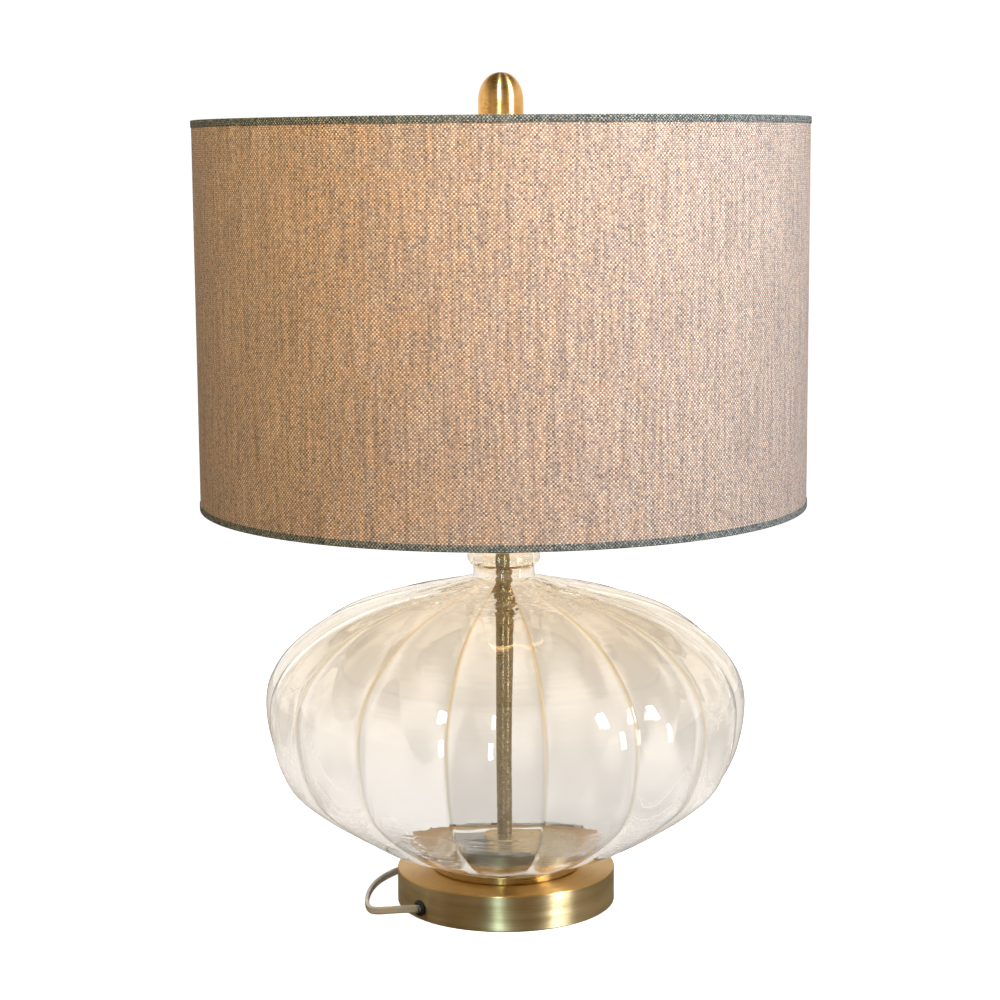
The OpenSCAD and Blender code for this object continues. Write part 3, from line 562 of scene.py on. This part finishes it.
def cord_path():
    turns = [(HANK_RADII[column], HANK_HEIGHTS[layer]) for column, layer in HANK_TURNS]
    turns.append((HANK_Y - TAIL_ROUTE[0][1], TAIL_ROUTE[0][2]))
    points = spline(RUN_ROUTE, 5)[:-1]
    for start, end in zip(turns, turns[1:]):
        points += [Vector(p) for p in hank_turn(start, end)]
    points += spline(TAIL_ROUTE, 5)
    return [p * MM for p in points]


def twin_section():
    """Section of a flat twin flex: two round conductors side by side with a groove between them."""
    radius = CORD_THICK / 2
    centre = CORD_WIDTH / 2 - radius
    points = []
    for side in (1, -1):
        for k in range(9):
            angle = math.radians(-30 + 30 * k)
            across, up = radius * math.cos(angle), centre + radius * math.sin(angle)
            points.append((side * across * MM, side * up * MM))
    return points


def make_cord():
    path = cord_path()
    cord = new_piece("flex", sweep(path, twin_section(), UP), CORD_PVC, even=False)
    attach(cord, "lamp_stand")
    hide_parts("cord_run", "cord_hank", "cord_tail")
    return cord, path


TIE_WALL = 0.6 * MM
TIE_CORNER = 2.1 * MM


def make_ties():
    """Two bands of woven tape, each round one bundle of the hank."""
    low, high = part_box("cord_ties")
    bundle = (HANK_RADII[0] - HANK_RADII[2] + CORD_THICK) * MM
    whole = bmesh.new()
    for side in (-1, 1):
        middle = HANK_Y * MM + side * (HANK_RADII[0] + HANK_RADII[2]) / 2 * MM
        band = bmesh.new()
        bmesh.ops.create_cube(band, size=1)
        size = (high.x - low.x, bundle + 2 * TIE_WALL, high.z - low.z)
        bmesh.ops.scale(band, vec=size, verts=band.verts)
        place = ((low.x + high.x) / 2, middle, (low.z + high.z) / 2)
        bmesh.ops.translate(band, vec=place, verts=band.verts)
        ends = [f for f in band.faces if abs(f.normal.x) > 0.9]
        bmesh.ops.delete(band, geom=ends, context="FACES_ONLY")
        lengths = [e for e in band.edges if abs(e.verts[0].co.x - e.verts[1].co.x) > TIE_WALL]
        bmesh.ops.bevel(band, geom=lengths, offset=TIE_CORNER, offset_type="OFFSET", segments=4,
                        profile=0.5, affect="EDGES", clamp_overlap=True, material=-1)
        bmesh.ops.recalc_face_normals(band, faces=band.faces)
        bmesh.ops.solidify(band, geom=band.faces, thickness=TIE_WALL)
        merge(whole, band)
    ties = new_piece("hank_ties", whole, TIE_TAPE)
    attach(ties, "lamp_stand")
    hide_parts("cord_ties")
    return ties


PLUG_RELIEF = 12 * MM
PLUG_RIBS = 5


def make_plug():
    """Moulded two-pin plug with a ribbed relief where the flex enters."""
    low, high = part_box("plug_body")
    _, mid_y, mid_z = (low + high) / 2
    wide, tall = high.y - low.y, high.z - low.z
    bm = bmesh.new()
    bmesh.ops.create_cube(bm, size=1)
    bmesh.ops.scale(bm, vec=(high.x - low.x - PLUG_RELIEF, wide, tall), verts=bm.verts)
    bmesh.ops.translate(bm, vec=((high.x + low.x + PLUG_RELIEF) / 2, mid_y, mid_z), verts=bm.verts)
    along = [e for e in bm.edges if abs(e.verts[0].co.x - e.verts[1].co.x) > PLUG_RELIEF]
    bmesh.ops.bevel(bm, geom=along, offset=tall * 0.42, offset_type="OFFSET", segments=6, profile=0.5,
                    affect="EDGES", clamp_overlap=True, material=-1)
    back = [v for v in bm.verts if v.co.x < low.x + PLUG_RELIEF + 1 * MM]
    bmesh.ops.scale(bm, vec=(1, 0.8, 0.92), space=Matrix.Translation((0, -mid_y, -mid_z)), verts=back)
    soften(bm, 1.2 * MM, 3, 50)
    outline = [(0, low.x)]
    for k in range(PLUG_RIBS):
        radius = (3.4 + 0.32 * k) * MM
        start = low.x + PLUG_RELIEF * k / PLUG_RIBS
        outline += [(radius - 0.5 * MM, start), (radius, start + 0.5 * MM),
                    (radius + 0.1 * MM, start + 1.5 * MM), (radius - 0.4 * MM, start + 1.9 * MM)]
    end = low.x + PLUG_RELIEF + 1.5 * MM
    outline += [(4.6 * MM, end), (0, end)]
    sleeve = lathe(outline, 32, closed=False)
    lying = Matrix.Rotation(math.pi / 2, 3, "Y")
    bmesh.ops.rotate(sleeve, cent=(0, 0, 0), matrix=lying, verts=sleeve.verts)
    bmesh.ops.translate(sleeve, vec=(0, mid_y, mid_z), verts=sleeve.verts)
    merge(bm, sleeve)
    plug = new_piece("plug", bm, CORD_PVC)
    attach(plug, "lamp_stand")
    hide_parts("plug_body")
    return plug


make_camera()
flex, flex_path = make_cord()
make_plug()
make_ties()


# ---------------------------------------------------------------- base

OUTLET_TURN = math.radians(-141)
PIPE_HOLE = 5.1 * MM


def place_piece(piece, body, slot_name, *nodes):
    """Puts a piece on its body in place of the parts that it shows."""
    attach(piece, body)
    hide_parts(*nodes)
    return piece


def arc(centre, radius, start, end, steps=6):
    """Points of a round corner, angles in degrees."""
    angles = [math.radians(start + (end - start) * k / steps) for k in range(steps + 1)]
    return [(centre[0] + radius * math.cos(a), centre[1] + radius * math.sin(a)) for a in angles]


def make_base():
    radius, bottom, top = rim("base_shell")
    wall, edge = 1.2 * MM, 1.2 * MM
    outline = [(PIPE_HOLE, top - wall), (PIPE_HOLE, top)]
    outline += arc((radius - edge, top - edge), edge, 90, 0, 8)
    outline += arc((radius - wall / 2, bottom + wall / 2), wall / 2, 0, -180, 6)
    outline += [(radius - wall, top - 3 * wall), (radius - 3 * wall, top - wall)]
    shell = new_piece("base_cover", lathe(outline, 256), BRASS_BASE)
    place_piece(shell, "lamp_stand", "brass_satin", "base_shell")


def make_seat():
    radius, bottom, top = rim("seat_plate")
    gap = 0.4 * MM
    edge = 0.5 * MM
    inner = radius - 4 * MM
    outline = [(PIPE_HOLE, bottom), (inner, bottom), (inner, bottom + gap)]
    outline += arc((radius - edge, bottom + gap + edge), edge, -90, 0, 4)
    outline += arc((radius - edge, top - edge), edge, 0, 90, 4)
    outline += [(PIPE_HOLE, top)]
    disc = new_piece("seat_disc", lathe(outline, 224), BRASS_SEAT)
    place_piece(disc, "lamp_stand", "brass_satin", "seat_plate")


def make_grommet():
    """Rubber bush in the base's wall: a rounded flange and a raised ring round the bore."""
    radius, _, _ = rim("base_shell")
    bore = 2.8 * MM
    flange = 5.5 * MM
    outline = [(bore, -2.5 * MM), (4.3 * MM, -2.5 * MM), (4.3 * MM, 0.1 * MM)]
    outline += arc((flange - 0.6 * MM, 0.6 * MM), 0.6 * MM, -60, 75, 4)
    outline += arc((3.6 * MM, 1.3 * MM), 0.65 * MM, 10, 180, 6)
    outline += [(bore, 1.0 * MM)]
    bm = lathe(outline, 48)
    low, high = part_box("cord_grommet")
    turn = Matrix.Rotation(OUTLET_TURN, 4, "Z") @ Matrix.Rotation(math.pi / 2, 4, "Y")
    shift = Matrix.Translation((0, 0, (low.z + high.z) / 2)) @ turn @ Matrix.Translation((0, 0, radius))
    bmesh.ops.transform(bm, matrix=shift, verts=bm.verts)
    place_piece(new_piece("cord_bush", bm, RUBBER), "lamp_stand", "rubber_black", "cord_grommet")


# ---------------------------------------------------------------- glass

BELLY = [
    (0, 27), (1.5, 36), (4, 46), (7.5, 55.5), (13, 66.5), (20, 79), (28, 90), (36, 95.5),
    (44, 98.5), (52, 100), (60, 99.8), (67, 97), (74, 91.2), (81, 81.8), (87, 70),
    (92, 53.5), (96, 34), (99, 19),
]
GLASS_HEIGHT = 195 * MM
GLASS_WALL = 3.2 * MM
GLASS_FLOOR = 4.5 * MM
NECK_R = 20.8 * MM
LIP_R = 24.8 * MM
FLOOR_HOLE = 6.6 * MM
CROWDING = 0.75


def lobed(bm, widest, depth, groove):
    """Draws the wall in at each crease, less near neck and foot; points crowd at the creases."""
    for vert in bm.verts:
        out = math.hypot(vert.co.x, vert.co.y)
        weight = math.sqrt(max(0.0, (out - NECK_R) / (widest - NECK_R)))
        part = (math.atan2(vert.co.x, -vert.co.y) - CREASE_AT) * LOBES / TURN
        part -= CROWDING * math.sin(TURN * part) / TURN
        turn = part * TURN / LOBES + CREASE_AT
        out -= depth * weight * groove(part)
        vert.co.x = out * math.sin(turn)
        vert.co.y = -out * math.cos(turn)


def sharp_groove(part):
    return 1 - abs(math.sin(math.pi * part))


def soft_groove(part):
    return math.cos(math.pi * part) ** 2


def make_glass():
    low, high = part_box("glass_body")
    widest = (high.x - low.x) / 2
    foot = low.z
    top = foot + GLASS_HEIGHT
    bore = NECK_R - GLASS_WALL
    belly = [(widest * r / 100, foot + GLASS_HEIGHT * h / 100) for h, r in BELLY]
    neck = [
        (NECK_R + 0.6 * MM, top + 0.4 * MM), (NECK_R, top + 2.2 * MM), (NECK_R, top + 7.4 * MM),
        (NECK_R + 0.8 * MM, top + 9 * MM), (LIP_R - 1 * MM, top + 11 * MM), (LIP_R, top + 14.2 * MM),
        (LIP_R - 0.7 * MM, top + 17.8 * MM), (LIP_R - 2.4 * MM, top + 19.7 * MM),
        (LIP_R - 4.4 * MM, top + 20 * MM), (bore + 0.8 * MM, top + 19.2 * MM), (bore, top + 17 * MM),
    ]
    outer = [(v.x, v.z) for v in spline([(r, 0, z) for r, z in belly + neck], 4)]
    lining = []
    for i in range(1, len(belly) - 1):
        ahead = (Vector(belly[i + 1]) - Vector(belly[i - 1])).normalized()
        r, z = belly[i]
        lining.append((r - ahead.y * GLASS_WALL, max(z + ahead.x * GLASS_WALL, foot + GLASS_FLOOR)))
    inner = [(bore, top + 17 * MM), (bore, top + 6 * MM), (bore, top - 1.4 * MM)] + lining[::-1]
    inner = [(v.x, v.z) for v in spline([(r, 0, z) for r, z in inner], 4)]
    inner += [(20.3 * MM, foot + GLASS_FLOOR), (FLOOR_HOLE, foot + GLASS_FLOOR), (FLOOR_HOLE, foot)]
    steps = LOBES * 16
    bm = lathe(outer, steps, closed=False)
    lobed(bm, widest, LOBE_DEPTH, sharp_groove)
    lining_bm = lathe(inner + [outer[0]], steps, closed=False)
    lobed(lining_bm, widest, LOBE_DEPTH * INNER_CREASE, soft_groove)
    merge(bm, lining_bm)
    bmesh.ops.remove_doubles(bm, verts=bm.verts, dist=0.01 * MM)
    bmesh.ops.recalc_face_normals(bm, faces=bm.faces)
    vessel = new_piece("glass_vessel", bm, GLASS, even=False)
    place_piece(vessel, "lamp_stand", "glass_champagne", "glass_body")


# ---------------------------------------------------------------- socket and harp

HARP_HALF = [
    (0, 5), (0, 10), (0, 14), (0.08, 21), (0.42, 33.5), (0.80, 46.5), (1, 61),
    (0.92, 75), (0.58, 87.5), (0.2, 95), (-0.2, 98), (-0.55, 99.3),
]


def tube_outline(bore, radius, bottom, top):
    return [(bore, bottom), (radius, bottom), (radius, top), (bore, top)]


def make_harp():
    """Bent wire with a boss for the swivel and two feet that drop over the saddle's tabs."""
    low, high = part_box("harp_frame")
    wire = 1.9 * MM
    boss_h, boss_r, boss_bore = 6 * MM, 6 * MM, 2.55 * MM
    boss_z = high.z - boss_h / 2
    foot_x, foot_h, foot_r, foot_bore = 27.2 * MM, 13 * MM, 4 * MM, 1.6 * MM
    widest = (high.x - low.x) / 2 - wire
    rise = boss_z - low.z
    half = [(foot_x + share * (widest - foot_x), 0, low.z + rise * h / 100) for share, h in HARP_HALF]
    other = [(-x, y, z) for x, y, z in half[::-1]]
    bm = sweep(spline(half + other, 6), round_section(wire), Vector((0, 1, 0)))
    parts = [lathe(tube_outline(boss_bore, boss_r, boss_z - boss_h / 2, boss_z + boss_h / 2), 48)]
    for side in (-1, 1):
        foot = lathe(tube_outline(foot_bore, foot_r, low.z, low.z + foot_h), 32)
        bmesh.ops.translate(foot, vec=(side * foot_x, 0, 0), verts=foot.verts)
        parts.append(foot)
    for part in parts:
        soften(part, 0.3 * MM)
        merge(bm, part)
    place_piece(new_piece("harp_wire", bm, BRASS_PLATED), "harp", "brass_plated", "harp_frame")


KNOB_FLUTES = 16
FLUTE_SHARE = 0.09


def make_knob():
    """Fluted turn knob of the socket switch."""
    low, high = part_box("switch_knob")
    radius = (high.x - low.x) / 2
    length = high.y - low.y
    outline = [(0, 0), (radius, 0), (radius, 1.6 * MM), (radius - 0.7 * MM, 2.4 * MM),
               (radius - 1.2 * MM, length - 1 * MM), (radius - 2 * MM, length), (0, length)]
    bm = lathe(outline, 96, closed=False)
    for vert in bm.verts:
        out = math.hypot(vert.co.x, vert.co.y)
        if vert.co.z > 2 * MM and out > radius / 2:
            flute = 0.5 + 0.5 * math.cos(KNOB_FLUTES * math.atan2(vert.co.y, vert.co.x))
            vert.co.x *= 1 - FLUTE_SHARE * flute
            vert.co.y *= 1 - FLUTE_SHARE * flute
    bmesh.ops.rotate(bm, cent=(0, 0, 0), matrix=Matrix.Rotation(math.pi / 2, 3, "X"), verts=bm.verts)
    bmesh.ops.translate(bm, vec=(0, high.y, (low.z + high.z) / 2), verts=bm.verts)
    soften(bm, 0.2 * MM, 2, 50)
    place_piece(new_piece("turn_knob", bm, PHENOLIC), "switch", "phenolic_black", "switch_knob")


# ---------------------------------------------------------------- shade

CLOTH_WALL = 0.6 * MM
LINER_WALL = 0.5 * MM
LINER_GAP = 0.05 * MM
SEAM_LAP = 12 * MM
SEAM_RISE = 0.05
HEM_THICK = 0.5 * MM
HEM_FOLD = 0.7 * MM
HEM_LEG = 4 * MM
DRUM_STEPS = 288


def wrapped_sheet(radius, wall, bottom, top, lap):
    """Sheet rolled into a drum, its end lapped over its start at the back."""
    path = []
    whole = TURN + lap / radius
    for k in range(DRUM_STEPS + 1):
        angle = whole * k / DRUM_STEPS
        over = max(0.0, (angle - TURN + SEAM_RISE) / SEAM_RISE)
        r = radius - wall / 2 + wall * 1.05 * min(1.0, over)
        way = Vector((math.sin(angle + math.pi), -math.cos(angle + math.pi), 0))
        path.append(way * r + UP * (bottom + top) / 2)
    rows = 12
    half = (top - bottom) / 2
    left = [(-wall / 2, -half + 2 * half * k / rows) for k in range(rows + 1)]
    right = [(wall / 2, half - 2 * half * k / rows) for k in range(rows + 1)]
    return sweep(path, left + right, UP)


def make_shade_cloth():
    radius, bottom, top = rim("shade_fabric")
    sheet = wrapped_sheet(radius, CLOTH_WALL, bottom, top, SEAM_LAP)
    cloth = new_piece("shade_cloth", sheet, SHADE_CLOTH_WARM_GLOW)
    liner_r = radius - CLOTH_WALL - LINER_GAP
    outline = tube_outline(liner_r - LINER_WALL, liner_r, bottom, top)
    liner = new_piece("shade_lining", lathe(outline, DRUM_STEPS), LINER)
    place_piece(cloth, "shade", "shade_cloth", "shade_fabric")
    place_piece(liner, "shade", "liner_sheet", "shade_liner")
    return cloth, liner, radius, bottom, top


def make_hem(name, node, lift):
    """Strip folded over an edge of the drum; lift is 1 on the lower edge and -1 on the upper."""
    radius, bottom, top = rim(node)
    edge = bottom if lift > 0 else top
    width = top - bottom
    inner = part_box("shade_bottom_ring")[1].x - 4.5 * MM
    thick = HEM_THICK
    fold = [(radius, width), *arc((radius - HEM_FOLD, HEM_FOLD), HEM_FOLD, 0, -90, 4),
            *arc((inner + HEM_FOLD, HEM_FOLD), HEM_FOLD, -90, -180, 4), (inner, HEM_LEG),
            (inner + thick, HEM_LEG), (inner + thick, 2 * thick), (inner + 2 * thick, thick),
            (radius - 2 * thick, thick), (radius - thick, 2 * thick), (radius - thick, width)]
    outline = [(r, edge + lift * z) for r, z in fold]
    hem = new_piece(name, lathe(outline, DRUM_STEPS), HEM_CLOTH)
    return place_piece(hem, "shade", "hem_cloth", node)


DOME_STEPS = 32
DOME_FULLNESS = 0.9


def make_finial():
    radius, bottom, top = rim("finial")
    dome = radius * 1.24
    straight = top - dome
    stud, stud_top = 3.2 * MM, bottom + 20 * MM
    foot, skirt = 8 * MM, 7 * MM
    outline = [(stud, stud_top), (stud, bottom), (foot, bottom), (foot, bottom + skirt - 2 * MM),
               (radius - 1 * MM, bottom + skirt), (radius - 0.3 * MM, bottom + skirt + 0.4 * MM),
               (radius, bottom + skirt + 1.2 * MM)]
    for k in range(DOME_STEPS):
        angle = math.pi / 2 * k / DOME_STEPS
        outline.append((radius * math.cos(angle) ** DOME_FULLNESS, straight + dome * math.sin(angle)))
    outline.append((0, top))
    bm = lathe(outline, 128, closed=False)
    merge(bm, lathe([(0, stud_top), (stud, stud_top)], 128, closed=False))
    bmesh.ops.remove_doubles(bm, verts=bm.verts, dist=0.01 * MM)
    bmesh.ops.recalc_face_normals(bm, faces=bm.faces)
    cap = new_piece("finial_cap", bm, BRASS_FINIAL_WARM_LIT, even=False)
    place_piece(cap, "finial", "brass_satin", "finial")


make_base()
make_seat()
make_grommet()
make_glass()
make_harp()
make_knob()
cloth, liner, cloth_r, cloth_bottom, cloth_top = make_shade_cloth()
hems = [make_hem("hem_upper", "shade_hem_top", -1), make_hem("hem_lower", "shade_hem_bottom", 1)]
make_finial()


# ---------------------------------------------------------------- parts that keep the CAD shape

NODE_FINISH = {
    "base_pad": FELT, "base_weight": IRON, "base_washer": STEEL, "base_nut": STEEL,
    "seat_washer": SILICONE, "floor_washer": SILICONE, "neck_gasket": SILICONE,
    "stem_collar": BRASS_SEAT, "stem_tube": BRASS_STEM_SHADED, "threaded_pipe": STEEL,
    "neck_cap": BRASS_SEAT, "neck_nut": BRASS_PLATED, "harp_saddle": BRASS_PLATED,
    "socket_cap": BRASS_PLATED, "socket_shell": BRASS_PLATED, "socket_sleeve": CARD,
    "socket_insert": PHENOLIC, "socket_screw_shell": BRASS_PLATED, "socket_contact": BRASS_PLATED,
    "terminal_screws": BRASS_PLATED, "switch_shaft": STEEL,
    "bulb_tip": BRASS_PLATED, "bulb_insulator": PHENOLIC, "bulb_screw_base": ALUMINIUM,
    "bulb_housing": BULB_PLASTIC, "bulb_led_board": ALUMINIUM, "bulb_diffuser": DIFFUSER,
    "harp_sleeve_left": BRASS_PLATED, "harp_sleeve_right": BRASS_PLATED, "harp_swivel": BRASS_PLATED,
    "shade_spider": BRASS_PLATED, "shade_top_ring": STEEL, "shade_bottom_ring": STEEL,
    "inner_lead": CORD_PVC, "plug_blades": STEEL,
}
for node_name, finish in NODE_FINISH.items():
    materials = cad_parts[node_name].data.materials
    materials.clear()
    materials.append(finish)


# ---------------------------------------------------------------- floor, room and lights

FLOOR_R = 6.0
TARGET = Vector((0, 0, 0.28))


def make_floor():
    bm = bmesh.new()
    bmesh.ops.create_circle(bm, cap_ends=True, segments=96, radius=FLOOR_R)
    white = (0.92, 0.92, 0.92, 1)
    material, tree, shader = new_material(
        "table_white", white[:3], 0.9, Specular_IOR_Level=0.0, Emission_Color=(1, 1, 1, 1))
    path = put(tree, "LightPath")
    seen = path.outputs["Is Camera Ray"]
    through = through_glass(tree, path)
    colour = mix(tree, through, (0.24, 0.20, 0.15, 1), (0.3, 0.28, 0.25, 1))
    tree.links.new(mix(tree, seen, colour, white), shader.inputs["Base Color"])
    x, y, _ = put(tree, "SeparateXYZ", {0: put(tree, "TexCoord").outputs["Object"]}).outputs
    spots = noise(tree, vector_of(tree, x, calc(tree, "MULTIPLY", y, 0.22)), 8.0, 2.0)
    dimmed = calc(tree, "MULTIPLY", through, fade(tree, spots, 0.38, 0.62, 0.60, 0.90))
    glow = calc(tree, "ADD", calc(tree, "MULTIPLY", seen, 0.93), dimmed)
    tree.links.new(glow, shader.inputs["Emission Strength"])
    floor = new_piece("table", bm, material, even=False)


def make_room():
    """White to the eye; darker and warmer towards the front in reflections, with soft patches."""
    world = bpy.data.worlds.new("room")
    bpy.context.scene.world = world
    world.use_nodes = True
    tree = world.node_tree
    tree.nodes.clear()
    way = put(tree, "TexCoord").outputs["Generated"]
    x, y, z = put(tree, "SeparateXYZ", {0: way}).outputs
    depth = fade(tree, y, -0.75, 0.1)
    patches = fade(tree, noise(tree, way, 4.0, 2.0), 0.4, 0.6)
    front = mix(tree, patches, (0.16, 0.13, 0.09, 1), (0.50, 0.42, 0.30, 1))
    back = mix(tree, patches, (0.80, 0.74, 0.64, 1), (1.0, 0.985, 0.95, 1))
    room = mix(tree, depth, front, back)
    room = mix(tree, fade(tree, z, 0.3, 0.7), room, (0.10, 0.085, 0.06, 1))
    path = put(tree, "LightPath")
    clouds = fade(tree, noise(tree, way, 13.0, 2.0), 0.40, 0.60)
    veil = mix(tree, clouds, (0.70, 0.65, 0.58, 1), (1.10, 1.08, 1.05, 1))
    room = mix(tree, path.outputs["Is Diffuse Ray"], room, (0.11, 0.10, 0.09, 1))
    room = mix(tree, through_glass(tree, path), room, veil)
    glow = put(tree, "Background", {"Color": room, "Strength": 1.0}).outputs[0]
    white = put(tree, "Background", {"Color": (1, 1, 1, 1), "Strength": 1.05}).outputs[0]
    both = put(tree, "MixShader", {0: path.outputs["Is Camera Ray"], 1: glow, 2: white}).outputs[0]
    put(tree, "OutputWorld", {0: both})


def softbox(name, azimuth, elevation, distance, size, power, colour, shines):
    """Light turned to the right from the front: it shines in metal and glass, or fills the cloth."""
    data = bpy.data.lights.new(name, "AREA")
    data.shape = "RECTANGLE"
    data.size, data.size_y = size
    data.energy = power
    data.color = colour
    lamp = bpy.data.objects.new(name, data)
    turn, rise = math.radians(azimuth), math.radians(elevation)
    way = Vector((math.sin(turn) * math.cos(rise), -math.cos(turn) * math.cos(rise), math.sin(rise)))
    aim = way.to_track_quat("Z", "Y").to_matrix().to_4x4()
    lamp.matrix_world = Matrix.Translation(TARGET + way * distance) @ aim
    lamp.visible_camera = False
    lamp.visible_glossy = lamp.visible_transmission = shines
    lamp.visible_diffuse = not shines
    bpy.context.scene.collection.objects.link(lamp)


make_floor()
make_room()
softbox("key_cloth", 48, 33, 1.0, (0.5, 0.5), 9.5, (1.0, 0.98, 1.0), shines=False)
softbox("warm_cloth", -22, 33, 1.0, (0.4, 0.4), 5.8, (1.0, 0.68, 0.33), shines=False)
softbox("back_cloth", 205, 33, 1.0, (0.5, 0.5), 5.0, (1.0, 0.93, 0.84), shines=False)
softbox("window_right", 58, 26, 2.0, (0.26, 0.6), 74, (0.84, 0.91, 1.0), shines=True)
softbox("window_left", -8, 38, 1.9, (0.10, 0.5), 36, (0.60, 0.90, 1.0), shines=True)
softbox("card_left", -8, -15, 0.5, (0.03, 0.15), 0.34, (0.48, 0.82, 1.0), shines=True)
softbox("card_right", 62, -15, 0.5, (0.04, 0.15), 0.42, (0.84, 0.93, 1.0), shines=True)
bpy.context.scene.view_settings.view_transform = "Standard"
